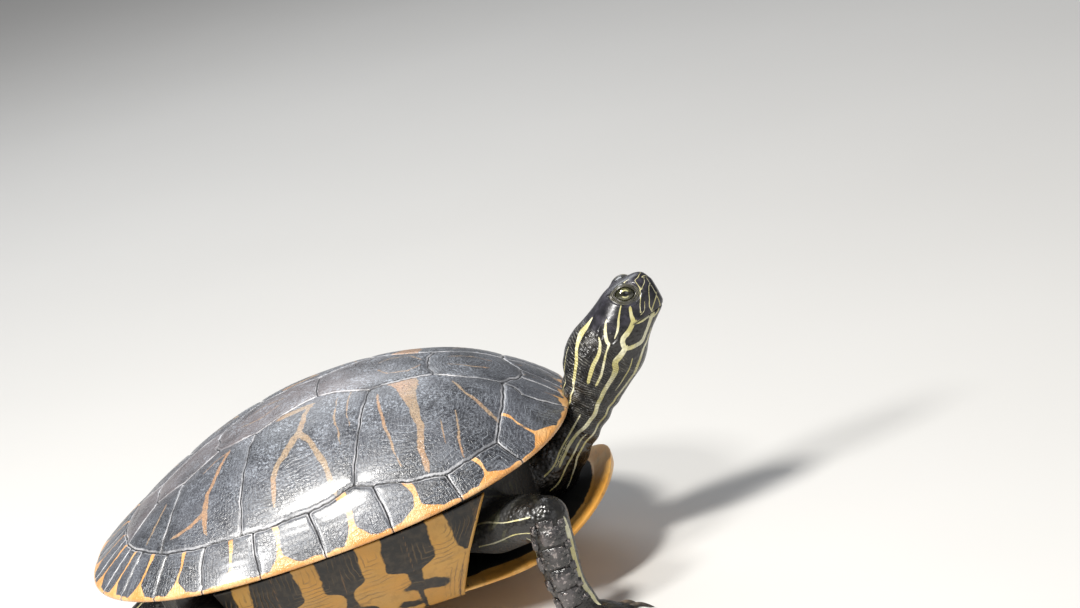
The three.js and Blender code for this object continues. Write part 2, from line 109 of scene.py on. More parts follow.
def shell_to_body(points):
    return pitched(points, SHELL_PITCH)


def body_to_shell(points):
    return pitched(points, -SHELL_PITCH)


def place(points):
    """Body millimetres to metres in the frame."""
    return (np.asarray(points, float) + ORIGIN) / 1000


def wobble(x, y, seed, size):
    """A smooth, repeatable wander between -1 and 1 over lengths of about size."""
    total = 0
    for k, share in enumerate((0.5, 0.3, 0.2)):
        a = FULL_TURN * (k + 1) * 0.61 / size
        b = 1.7 * seed + 2.3 * k
        total = total + share * np.sin(a * (x * math.cos(b) + y * math.sin(b)) + 3.1 * b)
    return total


def lengths_along(line):
    """Distance along a polyline to each of its points."""
    return np.r_[0, np.cumsum(np.linalg.norm(np.diff(line, axis=0), axis=1))]


def point_on(line, share):
    """Points on a polyline at shares of its length."""
    along = lengths_along(line)
    return np.stack([np.interp(share, along / along[-1], line[:, k]) for k in range(line.shape[1])], -1)


def resample(line, step):
    """Points about one step apart along a polyline, both ends kept."""
    count = max(2, round(lengths_along(line)[-1] / step) + 1)
    return point_on(line, np.linspace(0, 1, count))


def nearest_on_line(points, line):
    """For each point: distance to the polyline, which side of it, and how far along (0 to 1)."""
    best, side, along = np.full(len(points), 1e9), np.ones(len(points)), np.zeros(len(points))
    before = lengths_along(line)
    for k in range(len(line) - 1):
        a, d = line[k], line[k + 1] - line[k]
        t = np.clip(((points - a) @ d) / max(d @ d, 1e-12), 0, 1)
        apart = points - (a + t[:, None] * d)
        distance = np.linalg.norm(apart, axis=1)
        closer = distance < best
        best[closer] = distance[closer]
        side[closer] = np.sign(d[0] * apart[closer, 1] - d[1] * apart[closer, 0])
        along[closer] = (before[k] + t[closer] * (before[k + 1] - before[k])) / before[-1]
    return best, side, along


def nearest_of_lines(points, lines):
    return np.min([nearest_on_line(points, np.array(line, float))[0] for line in lines], axis=0)


def grid_faces(rows, columns, closed=False, start=0):
    """Quads of a grid of vertices laid row after row; closed joins the last column to the first."""
    faces = []
    for i in range(rows - 1):
        for j in range(columns if closed else columns - 1):
            k = (j + 1) % columns
            a, b = start + i * columns, start + (i + 1) * columns
            faces.append((a + j, a + k, b + k, b + j))
    return faces


def tube_faces(rows, columns):
    """A closed grid with a face over each end."""
    last = (rows - 1) * columns
    return grid_faces(rows, columns, closed=True) + [range(columns), range(last, last + columns)]


def new_object(name, vertices, faces):
    """A mesh object in the frame from body millimetres, with its faces turned outward."""
    mesh = bpy.data.meshes.new(name)
    mesh.from_pydata(place(vertices).tolist(), [], [tuple(face) for face in faces])
    mesh.validate()
    work = bmesh.new()
    work.from_mesh(mesh)
    bmesh.ops.recalc_face_normals(work, faces=work.faces)
    work.to_mesh(mesh)
    work.free()
    obj = bpy.data.objects.new(name, mesh)
    bpy.context.scene.collection.objects.link(obj)
    return obj


def finished(obj, material, attributes, replaced=()):
    """Shades the object smoothly, gives it one float per vertex for each attribute, attaches it to the root
    and hides the CAD parts it replaces.
    """
    mesh = obj.data
    mesh.polygons.foreach_set("use_smooth", [True] * len(mesh.polygons))
    mesh.materials.clear()
    mesh.materials.append(material)
    for key, values in attributes.items():
        layer = mesh.attributes.new(key, "FLOAT", "POINT")
        layer.data.foreach_set("value", np.asarray(values, np.float32))
    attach(obj, "root")
    if replaced:
        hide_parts(*replaced)
    return obj


# ---- Shader graphs ----------------------------------------------------------------------------


class Value:
    """A number or colour worked out in a shader. Sums with it make Math nodes."""

    def __init__(self, finish, socket):
        self.finish, self.socket = finish, socket

    def math(self, operation, other=0.0):
        return self.finish.math(operation, self, other)

    def __add__(self, other):
        return self.math("ADD", other)

    def __sub__(self, other):
        return self.math("SUBTRACT", other)

    def __rsub__(self, other):
        return self.finish.math("SUBTRACT", other, self)

    def __mul__(self, other):
        return self.math("MULTIPLY", other)

    def __abs__(self):
        return self.math("ABSOLUTE")

    def step(self, low, high):
        """0 below low and 1 above high, or the other way round where low is the larger."""
        sockets = {"Value": self, "From Min": low, "From Max": high}
        return self.finish.made("ShaderNodeMapRange", sockets, interpolation_type="SMOOTHSTEP")

    def between(self, low, high):
        """0 to 1 spread from low to high."""
        return self.finish.made("ShaderNodeMapRange", {"Value": self, "To Min": low, "To Max": high})


class Finish:
    """A material and short words for its node graph. An input is a number, a colour or a Value."""

    line_reach = 0.9               # millimetres past a painted line where the other lines take over

    def __init__(self, name, roughness=0.5, **fixed):
        self.material = bpy.data.materials.new(name)
        self.material.use_nodes = True
        self.tree = self.material.node_tree
        self.shader = self.tree.nodes["Principled BSDF"]
        self.put(self.shader, "Roughness", roughness)
        for key, value in fixed.items():
            self.put(self.shader, key.replace("_", " "), value)
        self.where = self.made("ShaderNodeTexCoord", {}, out="Object")

    def put(self, node, key, value):
        socket = node.inputs[key]
        if isinstance(value, Value):
            self.tree.links.new(value.socket, socket)
        elif isinstance(value, tuple) and socket.type == "RGBA":
            socket.default_value = (*value, 1)
        else:
            socket.default_value = value

    def made(self, kind, sockets, out=0, **settings):
        node = self.tree.nodes.new(kind)
        for key, value in settings.items():
            setattr(node, key, value)
        for key, value in sockets.items():
            self.put(node, key, value)
        return Value(self, node.outputs[out])

    def math(self, operation, a, b=0.0):
        return self.made("ShaderNodeMath", {0: a, 1: b}, operation=operation)

    def attribute(self, name):
        return self.made("ShaderNodeAttribute", {}, out="Fac", attribute_name=name)

    def noise(self, scale, detail=2.0, roughness=0.5, vector=None, distortion=0.0):
        sockets = {"Vector": vector or self.where, "Scale": scale, "Detail": detail}
        return self.made("ShaderNodeTexNoise", {**sockets, "Roughness": roughness, "Distortion": distortion})

    def cells(self, scale, feature="F1"):
        sockets = {"Vector": self.where, "Scale": scale}
        return self.made("ShaderNodeTexVoronoi", sockets, out="Distance", feature=feature)

    def stretched(self, scale):
        return self.made("ShaderNodeMapping", {"Vector": self.where, "Scale": scale})

    def mix(self, a, b, share):
        """From a to b; sockets 0, 6, 7 and 2 are the Mix node's share, colours and result."""
        return self.made("ShaderNodeMix", {0: share, 6: a, 7: b}, out=2, data_type="RGBA")

    def rings(self, value):
        """Distance from the middle of each whole step of the value."""
        return abs(value.math("FRACT") - 0.5)

    def waves(self, value, spacing):
        """0 to 1 and back over each spacing."""
        return (value * (FULL_TURN / spacing)).math("SINE").between(0.5, 1.0)

    def line(self, prefix, edge, rough):
        """1 inside the painted lines whose distances the vertices hold, 0 outside."""
        side, near, width = (self.attribute(f"{prefix}_{what}") for what in ("side", "near", "width"))
        width = width + rough
        return (width - abs(side)).step(-edge, edge) * (width + self.line_reach - near).step(0.0, 0.3)

    def finish(self, colour, height=None, depth=0.0, roughness=None):
        """Colour, and bump of the given depth in metres."""
        self.put(self.shader, "Base Color", colour)
        if roughness is not None:
            self.put(self.shader, "Roughness", roughness)
        if height is not None:
            bump = self.made("ShaderNodeBump", {"Height": height, "Distance": depth, "Strength": 1.0})
            self.put(self.shader, "Normal", bump)
        return self.material


def pale_marks(f, grain):
    """How much flecks, cracks, scuffs, dust, powder and growth rings pale the horn; and its relief. The
    powder grows toward the dome's top, where it is also a painted sky reflection.
    """
    fleck = grain.step(0.53, 0.66) * f.noise(160, 3).step(0.28, 0.6)
    crazed = f.cells(430, "DISTANCE_TO_EDGE")
    net = crazed.step(0.10, 0.02) * f.noise(240, 2).step(0.42, 0.6)
    scuff = f.noise(1500, 3, 0.8).step(0.56, 0.66) * f.noise(75, 4).step(0.42, 0.62)
    annual = f.waves(f.attribute("seam") * 0.62 + f.noise(190, 4) * 2.0, 1)
    dust = annual.step(0.62, 0.95) * f.noise(48, 3).step(0.44, 0.66)
    powder = f.noise(700, 4, 0.75).step(0.49, 0.60) * f.noise(80, 3).step(0.35, 0.62).between(0.25, 1.0)
    # More pale powder high on the dome: real powder, strengthened there as a painted reflection of the sky on
    # the top.
    silver = f.attribute("silver").between(0.42, 1.0)
    ring = f.rings(f.attribute("grow") + f.noise(70, 2) * 0.9).step(0.09, 0.02)
    ring = ring * f.noise(90, 3).step(0.46, 0.62)
    pale = fleck * 0.55
    for other in (net * 0.22, scuff * 0.65, dust * grain * 0.5, powder * silver * 0.8, ring * 0.5):
        pale = pale.math("MAXIMUM", other)
    return pale, grain * 0.8 + ring * 0.5 + crazed.step(0.0, 0.12) * 0.35 + annual * 0.7


def carapace_finish():
    """Slate-black horn: pale marks, tan and orange bars, grooved seams with pale shoulders painted on as
    highlight.
    """
    f = Finish("slate_horn", IOR=1.65, Coat_Weight=0.4, Coat_Roughness=0.2)
    slow, grain = f.noise(38, 3), f.noise(900, 4, 0.72)
    colour = f.mix((0.012, 0.013, 0.017), (0.050, 0.053, 0.065), slow.step(0.35, 0.68))
    brown = f.attribute("brown") * f.noise(60, 4).between(0.55, 1.0)
    colour = f.mix(colour, (0.135, 0.102, 0.098), brown * slow.step(0.3, 0.6).between(0.35, 0.9))
    pale, relief = pale_marks(f, grain)
    colour = f.mix(colour, (0.33, 0.36, 0.41), pale)

    rough = (f.noise(330, 3) - 0.5) * 1.5
    tan = f.mix((0.33, 0.24, 0.155), (0.39, 0.225, 0.125), f.noise(25, 2).step(0.4, 0.62))
    tan = f.mix(tan, (0.10, 0.08, 0.065), grain.step(0.56, 0.42) * 0.55)
    colour = f.mix(colour, tan, f.line("bar", 0.25, rough))
    orange = f.mix((0.62, 0.28, 0.07), (0.74, 0.42, 0.17), f.noise(70, 3).step(0.38, 0.62))
    orange = f.mix(orange, (0.40, 0.2, 0.05), f.noise(420, 4).step(0.55, 0.7) * 0.5)
    edge = f.attribute("orange") + rough * 0.6
    colour = f.mix(colour, orange, edge.step(-0.25, 0.25))
    under = f.attribute("under").step(0.3, 0.9)
    streak = f.noise(1.0, 3, vector=f.stretched((90, 90, 420)))
    umber = f.mix((0.085, 0.06, 0.045), (0.20, 0.15, 0.10), streak)
    colour = f.mix(colour, umber, under * edge.step(0.25, -0.25))

    seam = f.attribute("seam") + (f.noise(500, 2) - 0.5) * 0.5
    # The shoulders of the seams' grooves are painted pale grey: a painted highlight, left off the underside.
    seam_edge_highlight = seam.step(0.32, 0.5) * seam.step(1.05, 0.8) * f.noise(80, 2).step(0.4, 0.6).between(0.25, 0.85)
    colour = f.mix(colour, (0.47, 0.47, 0.49), seam_edge_highlight * (1.0 - under))
    colour = f.mix(colour, (0.012, 0.012, 0.014), seam.step(0.42, 0.2))
    worn = f.noise(75, 4, 0.6).step(0.40, 0.62)
    roughness = worn.between(0.26, 0.40) + grain.between(-0.08, 0.12)
    return f.finish(colour, relief, depth=0.00022, roughness=roughness)


def plastron_finish():
    """Orange-yellow horn with brown seams, dark bridge blotches and dark skin inside the lobe."""
    f = Finish("amber_horn", IOR=1.5)
    colour = f.mix((0.74, 0.35, 0.06), (0.80, 0.47, 0.14), f.noise(45, 3).step(0.35, 0.65))
    streak = f.noise(1.0, 4, vector=f.stretched((300, 60, 300)))
    colour = f.mix(colour, (0.40, 0.20, 0.05), streak.step(0.5, 0.72) * 0.5)
    wall, seam = f.attribute("wall"), f.attribute("seam")
    # The bridge walls are painted a darker brown: painted shade on the bridges.
    colour = f.mix(colour, (0.36, 0.19, 0.035), wall * f.noise(90, 3).between(0.45, 0.9))
    wander = (f.noise(120, 3) - 0.5) * 5.0
    dark = f.mix((0.006, 0.005, 0.004), (0.036, 0.026, 0.016), f.noise(260, 4).step(0.4, 0.75))
    colour = f.mix(colour, dark, (f.attribute("blotch") + wander).step(-0.5, 0.5))
    growth = f.rings(seam * 0.42 + f.noise(70, 3) * 2.4).step(0.22, 0.02)
    growth = growth * f.noise(60, 2).step(0.42, 0.62) * wall
    colour = f.mix(colour, (0.13, 0.08, 0.03), growth * 0.55)
    groove = seam + (f.noise(420, 2) - 0.5) * 0.4
    colour = f.mix(colour, (0.11, 0.055, 0.02), groove.step(0.5, 0.15))
    skin = (f.attribute("skin") + wander * 0.3).step(-0.5, 0.5)
    colour = f.mix(colour, (0.006, 0.0065, 0.005), skin)
    height = f.noise(700, 4) * 0.4 + streak * 0.6 + growth * -0.8
    roughness = f.noise(150, 3).between(0.26, 0.52) + skin * 0.4
    return f.finish(colour, height, depth=0.00018, roughness=roughness)


FOLD_SPACING = 1.25            # millimetres between the fine folds of the neck


def skin_finish():
    """Near-black glossy skin with pale stripes, fine folds on the neck and a smooth crown with a painted
    bluish sky reflection.
    """
    f = Finish("striped_skin", IOR=1.62)
    head, wrinkle, pocket_shade, lid = (f.attribute(name) for name in ("head", "wrinkle", "pocket_shade", "lid"))
    colour = f.mix((0.004, 0.0038, 0.0034), (0.013, 0.011, 0.009), f.noise(55, 3).step(0.35, 0.68))
    colour = f.mix(colour, (0.040, 0.036, 0.020), f.noise(130, 3).step(0.52, 0.7) * 0.4)
    # The crown is tinted bluish plum: a painted reflection of the sky on the top of the head.
    crown = f.mix((0.007, 0.0065, 0.009), (0.034, 0.031, 0.042), f.noise(230, 4).step(0.38, 0.7))
    colour = f.mix(colour, crown, head)
    fold = f.waves(f.attribute("along") + (f.noise(130, 3) - 0.5) * 3.4, FOLD_SPACING)
    # The crests of the neck's folds are painted paler: a painted highlight.
    fold_highlight = fold.step(0.55, 1.0) * wrinkle * f.noise(260, 2).step(0.45, 0.65)
    colour = f.mix(colour, (0.21, 0.20, 0.17), fold_highlight * 0.55)

    yellow = f.mix((0.50, 0.45, 0.18), (0.70, 0.67, 0.46), f.noise(95, 3).step(0.38, 0.62))
    yellow = f.mix(yellow, (0.30, 0.26, 0.11), f.noise(700, 3).step(0.55, 0.75) * 0.5)
    # pocket_shade: painted shade on the skin under the shell. The skin is painted near black there, its
    # stripes are dimmed, and only faint pale lines remain.
    contour = f.rings(f.noise(1.0, 1, 0.4, f.stretched((14, 60, 42)), 0.3) * 9.0).step(0.13, 0.06)
    contour = contour * pocket_shade * f.noise(45, 2).step(0.4, 0.6).between(0.0, 0.14)
    colour = f.mix(colour, (0.004, 0.004, 0.0035), pocket_shade * 0.9)
    colour = f.mix(colour, (0.20, 0.20, 0.08), contour)
    stripe = f.line("stripe", 0.10, (f.noise(420, 3) - 0.5) * 0.42)
    colour = f.mix(colour, yellow, stripe * (1.0 - pocket_shade).between(0.4, 1.0))

    ring = (lid * 6.7).math("FRACT").step(0.66, 0.84) * (lid.step(1.6, 1.45) * lid.step(1.0, 1.05))
    colour = f.mix(colour, (0.34, 0.32, 0.18), ring * f.noise(500, 2).between(0.2, 1.0))
    colour = f.mix(colour, (0.006, 0.006, 0.006), lid.step(1.03, 0.98))
    colour = f.mix(colour, (0.008, 0.007, 0.007), f.attribute("dark").step(1.3, 0.8) * 0.85)
    grain = f.cells(400).step(0.75, 0.0) * ((1.0 - head) * 0.6)
    height = grain + fold * wrinkle * 1.1 + f.noise(330, 4) * 0.5
    roughness = f.noise(260, 3).between(0.14, 0.46) + pocket_shade * 0.35
    return f.finish(colour, height, depth=0.00045, roughness=roughness)


def arm_scale_finish():
    """Large dark glossy scales with pale, faintly pink patches painted on as glints."""
    f = Finish("arm_scale", IOR=1.75)
    colour = f.mix((0.010, 0.009, 0.009), (0.075, 0.066, 0.066), f.noise(150, 4).step(0.42, 0.66))
    # Pale pinkish patches: painted glints on the scales' faces.
    colour = f.mix(colour, (0.42, 0.36, 0.34), f.noise(520, 4).step(0.55, 0.68) * 0.5)
    height = f.noise(420, 4) + f.noise(150, 2) * 1.2
    return f.finish(colour, height, depth=0.0012, roughness=f.noise(300, 3).between(0.04, 0.36))


def claw_finish():
    """Dark horn that pales in patches."""
    f = Finish("claw_horn", Coat_Weight=0.2, Coat_Roughness=0.2)
    colour = f.mix((0.030, 0.024, 0.020), (0.16, 0.12, 0.085), f.noise(220, 3).step(0.4, 0.75))
    roughness = f.noise(300, 2).between(0.25, 0.4)
    return f.finish(colour, f.noise(900, 3), depth=0.0001, roughness=roughness)


IRIS_RADIUS, PUPIL_RADIUS = 3.2, 1.3


def eye_finish():
    """Yellow-green iris crossed by a dark bar, a round pupil and a wet surface; in millimetres."""
    f = Finish("iris", 0.08, Coat_Weight=1.0, Coat_Roughness=0.02)
    x, y = f.attribute("iris_x"), f.attribute("iris_y")
    radius = (x * x + y * y).math("SQRT")
    polar = {"X": y.math("ARCTAN2", x) * 3.0, "Y": radius, "Z": 0.0}
    rays = f.noise(2.4, 3, vector=f.made("ShaderNodeCombineXYZ", polar))
    colour = f.mix((0.014, 0.014, 0.006), (0.135, 0.135, 0.05), rays.step(0.42, 0.68))
    arc = radius.step(1.35, 1.6) * radius.step(2.3, 1.95) * abs(y).step(0.9, 1.3)
    colour = f.mix(colour, (0.62, 0.60, 0.30), arc * rays.between(0.45, 1.0))
    bar = (abs(y) + (f.noise(900, 2) - 0.5) * 0.5).step(1.05, 0.7) * radius.step(0.9, 1.2)
    colour = f.mix(colour, (0.02, 0.018, 0.01), bar)
    colour = f.mix(colour, (0.02, 0.02, 0.008), radius.step(IRIS_RADIUS - 0.3, IRIS_RADIUS + 0.3))
    colour = f.mix(colour, (0.001, 0.001, 0.001), radius.step(PUPIL_RADIUS + 0.05, PUPIL_RADIUS - 0.1))
    return f.finish(f.mix((0.01, 0.01, 0.01), colour, f.attribute("iris_z").step(0.0, 0.4)))


# ---- The carapace -----------------------------------------------------------------------------


def rim_reach(dx, dy):
    """From the dome's centre to the rim in the unit direction (dx, dy)."""
    near, far = np.zeros_like(dx), np.full_like(dx, 2 * SHELL_HALF_LENGTH)
    for _ in range(36):
        reach = (near + far) / 2
        x = np.abs(DOME_CENTRE_X + reach * dx) / SHELL_HALF_LENGTH
        y = np.abs(reach * dy) / SHELL_HALF_WIDTH
        inside = x**RIM_POWER + y**RIM_POWER < 1
        near, far = np.where(inside, reach, near), np.where(inside, far, reach)
    return near


def dome(x, y):
    """Height of the carapace over the plan point, and its share of the way to the rim."""
    dx, dy = x - DOME_CENTRE_X, np.asarray(y, float)
    distance = np.maximum(np.hypot(dx, dy), 1e-6)
    reach = rim_reach(dx / distance, dy / distance)
    share = np.minimum(distance / reach, 1.0)
    rim_x = (DOME_CENTRE_X + reach * dx / distance) / SHELL_HALF_LENGTH
    front = rim_x > 0
    end = np.where(front, DOME_BULGE["front"], DOME_BULGE["rear"])
    bulge = DOME_BULGE["side"] + (end - DOME_BULGE["side"]) * np.abs(rim_x) ** RIM_POWER
    rise_end = np.where(front, RIM_RISE["front"], RIM_RISE["rear"])
    rise = rise_end * rim_x**2 + RIM_RISE["side"] * (1 - rim_x**2)
    z = rise * share**3 + DOME_HEIGHT * (1 - share**2) * (1 + bulge * share**2)
    z = z + FRONT_FULLNESS * smooth((x - 50) / 50) * (1 - share**8) * bell(dy, 50)
    return z, share


def rim_half_width(x):
    inside = 1 - np.minimum(1, np.abs(np.asarray(x, float) / SHELL_HALF_LENGTH)) ** RIM_POWER
    return SHELL_HALF_WIDTH * inside ** (1 / RIM_POWER)


def rim_arc(start, end, count):
    """Plan points along the rim between two rim points, by turning about the dome's centre."""
    turns = [math.atan2(p[1], p[0] - DOME_CENTRE_X) for p in (start, end)]
    if abs(turns[1] - turns[0]) > HALF_TURN:
        turns[turns.index(min(turns))] += FULL_TURN
    angle = np.linspace(*turns, count)
    dx, dy = np.cos(angle), np.sin(angle)
    reach = rim_reach(dx, dy)
    return np.stack([DOME_CENTRE_X + reach * dx, reach * dy], -1)


# Seams between the scutes of the right side, as plan points in the shell's frame. The left
# side is their mirror image.
SEAMS = {
    "v1_p1": [(103, -20), (88, -20.5), (72, -18)],
    "v2_p1": [(72, -18), (56, -21), (40, -26)],
    "v2_p2": [(40, -26), (26, -20), (13, -15)],
    "v3_p2": [(13, -15), (-4, -19), (-22, -24)],
    "v3_p3": [(-22, -24), (-34, -20), (-45, -15)],
    "v4_p3": [(-45, -15), (-57, -18), (-67, -20)],
    "v4_p4": [(-67, -20), (-76, -16), (-85, -13)],
    "v5_p4": [(-85, -13), (-95, -21), (-104, -30)],
    "v1_v2": [(72, -18), (69.5, -8), (69, 0)],
    "v2_v3": [(13, -15), (11.5, -7), (12, 0)],
    "v3_v4": [(-45, -15), (-47, -7), (-46, 0)],
    "v4_v5": [(-85, -13), (-87, -6), (-86, 0)],
    "v1_m1": [(103, -20), (107, -13), (111, -6.5)],
    "v1_nuchal": [(111, -6.5), (112, 0)],
    "v5_m11": [(-104, -30), (-106, -19)],
    "v5_m12": [(-106, -19), (-108.5, -9), (-109, 0)],
    "p1_m2": [(103, -20), (103, -33), (100, -47), (97, -57), (95, -64)],
    "p1_m3": [(95, -64), (81, -73), (68, -80)],
    "p1_m4": [(68, -80), (51, -81), (32, -80)],
    "p1_m5": [(32, -80), (24, -78)],
    "p2_m5": [(24, -78), (10, -81), (-2, -82)],
    "p2_m6": [(-2, -82), (-18, -82), (-31, -81)],
    "p2_m7": [(-31, -81), (-37, -80)],
    "p3_m7": [(-37, -80), (-57, -76)],
    "p3_m8": [(-57, -76), (-69, -71), (-78, -66)],
    "p3_m9": [(-78, -66), (-82, -63)],
    "p4_m9": [(-82, -63), (-93, -51)],
    "p4_m10": [(-93, -51), (-101, -38)],
    "p4_m11": [(-101, -38), (-104, -30)],
    "p1_p2": [(40, -26), (37, -36), (32, -54), (28, -66), (24, -78)],
    "p2_p3": [(-22, -24), (-27, -42), (-32, -60), (-37, -80)],
    "p3_p4": [(-67, -20), (-71, -36), (-76, -50), (-82, -63)],
}

# Where the seams between neighbouring marginals meet the pleurals and the rim.
MARGINAL_SEAMS = [
    [(111, -6.5), (120, -5), (129.9, -4.5)],
    [(103, -20), (108, -20.5), (111, -26.5), (118, -26), (129, -20.5)],
    [(95, -64), (100, -68), (104, -70.4)],
    [(68, -80), (70, -84), (72, -88.1)],
    [(32, -80), (35, -87), (36, -95.6)],
    [(-2, -82), (0, -89), (1, -97)],
    [(-31, -81), (-33, -88), (-33, -95.9)],
    [(-57, -76), (-61, -83), (-64, -90.6)],
    [(-78, -66), (-84, -73), (-90, -80.1)],
    [(-93, -51), (-101, -58), (-109, -65.5)],
    [(-101, -38), (-111, -44), (-120, -50.4)],
    [(-106, -19), (-117, -23), (-127.5, -29.9)],
    [(-109, 0), (-119, 0), (-130, 0)],
]

# The inner edge of each marginal, from its front seam to its rear one.
MARGINAL_EDGES = [
    ["v1_m1"], ["p1_m2"], ["p1_m3"], ["p1_m4"], ["p1_m5", "p2_m5"], ["p2_m6"], ["p2_m7", "p3_m7"],
    ["p3_m8"], ["p3_m9", "p4_m9"], ["p4_m10"], ["p4_m11", "v5_m11"], ["v5_m12"],
]

# Pleurals: their seams in order round the scute (a minus runs it backwards) and their areola.
PLEURALS = [
    (["v1_p1", "v2_p1", "p1_p2", "-p1_m5", "-p1_m4", "-p1_m3", "-p1_m2"], (66, -44)),
    (["v2_p2", "v3_p2", "p2_p3", "-p2_m7", "-p2_m6", "-p2_m5", "-p1_p2"], (2, -46)),
    (["v3_p3", "v4_p3", "p3_p4", "-p3_m9", "-p3_m8", "-p3_m7", "-p2_p3"], (-51, -44)),
    (["v4_p4", "v5_p4", "-p4_m11", "-p4_m10", "-p4_m9", "-p3_p4"], (-86, -36)),
]

# Vertebrals: the right half's seams from the front midline to the rear one, and the areola.
VERTEBRALS = [
    (["-v1_nuchal", "-v1_m1", "v1_p1", "v1_v2"], (88, 0)),
    (["-v1_v2", "v2_p1", "v2_p2", "v2_v3"], (42, 0)),
    (["-v2_v3", "v3_p2", "v3_p3", "v3_v4"], (-18, 0)),
    (["-v3_v4", "v4_p3", "v4_p4", "v4_v5"], (-66, 0)),
    (["-v4_v5", "v5_p4", "v5_m11", "v5_m12"], (-98, 0)),
]

# Pale bars painted on the right side's scutes: plan points with the half-width at each.
BARS = [
    [(51, -24, 1.6), (57.5, -24.5, 7.2)],
    [(57.5, -23.5, 6.6), (59, -34, 4.4), (60.5, -45, 2.6), (62, -58, 1.8), (60, -70, 1.5), (60, -77, 1.4)],
    [(44, -33, 0.5), (44.5, -48, 0.7), (46, -62, 0.6), (48, -75, 0.4)],
    [(81, -27, 0.5), (89, -40, 0.9), (96, -49, 1.0), (99, -53, 0.6)],
    [(80, -50, 0.3), (79, -62, 0.5), (78, -72, 0.4)],
    [(72, -56, 0.2), (72, -66, 0.4)],
    [(-8, -24, 2.1), (1, -23.5, 1.9), (9, -23.5, 1.5)],
    [(9, -23.5, 1.2), (5, -34, 1.3), (2, -43, 2.0), (-5, -51, 1.9), (-12, -58, 1.6), (-15, -65, 1.3),
     (-17, -74, 1.1)],
    [(2, -43, 2.0), (6, -50, 1.4), (9, -57, 1.5), (12, -66, 1.5), (14, -78, 1.6)],
    [(24, -26, 0.3), (21, -40, 0.5), (22, -58, 0.3)],
    [(31, -24, 0.3), (28, -36, 0.4), (28, -50, 0.2)],
    [(-38, -27, 0.9), (-44, -39, 1.1), (-51, -52, 1.3), (-54, -61, 1.6), (-55, -71, 1.0)],
    [(-54, -61, 1.4), (-62, -63, 1.0), (-74, -61, 0.6)],
    [(-38, -27, 0.7), (-46, -27, 0.5), (-53, -30, 0.3)],
    [(-78, -30, 0.6), (-84, -42, 0.9), (-90, -49, 0.6)],
]
VERTEBRAL_BARS = [
    [(66, -5, 0.35), (60, -12, 0.4), (50, -12, 0.35), (45, -6, 0.3)],
    [(80, -6, 0.3), (90, -8, 0.5), (98, -6, 0.3)],
    [(-8, -4, 0.3), (-20, -9, 0.5), (-32, -4, 0.3)],
]
SEAM_STEP = 1.25
# Rings of a scute's mesh, as shares of the way from its seams to its areola.
SCUTE_RINGS = np.r_[0, 0.004, 0.009, 0.016, 0.025, 0.036, 0.05, 0.07, np.linspace(0.1, 0.985, 22)]
GROWTH_RINGS = 11.0
PLATE_DEPTH = 1.6
CUSHION_RISE, GROOVE_DEPTH, GROOVE_WIDTH, GROWTH_RIDGE, RELIEF_SUNK = 0.55, 0.75, 0.75, 0.07, 0.2
SEAM_WANDER, WANDER_LENGTH = 0.55, 9
OUT_OF_REACH = -9.0            # millimetres inside a mark, for places far outside all of its kind


def seam_line(name):
    points = np.array(SEAMS[name.lstrip("-")], float)
    return points[::-1] if name.startswith("-") else points


def joined(names):
    """Several seams run together as one line."""
    lines = [seam_line(name) for name in names]
    return np.vstack([lines[0]] + [line[1:] for line in lines[1:]])


def mirrored(plan):
    return np.array(plan, float) * [1, -1]


def wandered(plan):
    """The same plan points with the slight wander of real seams; little at the rim or midline."""
    x, y = plan.T
    most = SEAM_WANDER * (1 - dome(x, y)[1] ** 10) * smooth(np.abs(y) / 5 + 0.25)
    return plan + np.stack([wobble(x, y, seed, WANDER_LENGTH) * most for seed in (1, 5)], -1)


def painted(plan, lines):
    """For each plan point: signed distance, distance and half-width of the nearest painted line."""
    marks = np.repeat([[50.0], [50.0], [0.0]], len(plan), axis=1)
    clear = np.full(len(plan), 1e9)
    right_side = np.column_stack([plan[:, 0], -np.abs(plan[:, 1])])
    for line in lines:
        line = np.array(line, float)
        distance, side, along = nearest_on_line(right_side, line[:, :2])
        before = lengths_along(line[:, :2])
        half = np.interp(along, before / before[-1], line[:, 2])
        closer = (plan[:, 1] != 0) & (distance - half < clear)
        clear[closer] = (distance - half)[closer]
        marks[:, closer] = np.stack([distance * side, distance, half])[:, closer]
    return dict(zip(("bar_side", "bar_near", "bar_width"), marks))


def scute_relief(seam, inward):
    """Each scute is a low cushion between grooves, with faint growth ridges."""
    cushion = CUSHION_RISE * (1 - np.exp(-seam / 5)) - GROOVE_DEPTH * bell(seam, GROOVE_WIDTH)
    ridges = GROWTH_RIDGE * np.sin(FULL_TURN * GROWTH_RINGS * inward) * smooth((seam - 1) / 3)
    return cushion + ridges - RELIEF_SUNK


def powder_and_sheen_of(vertices):
    """Pale powder marks grow toward the top of the dome: the horn's own powder, strengthened up high as a
    painted reflection of the sky.
    """
    return smooth((vertices[:, 2] - 26) / 22)


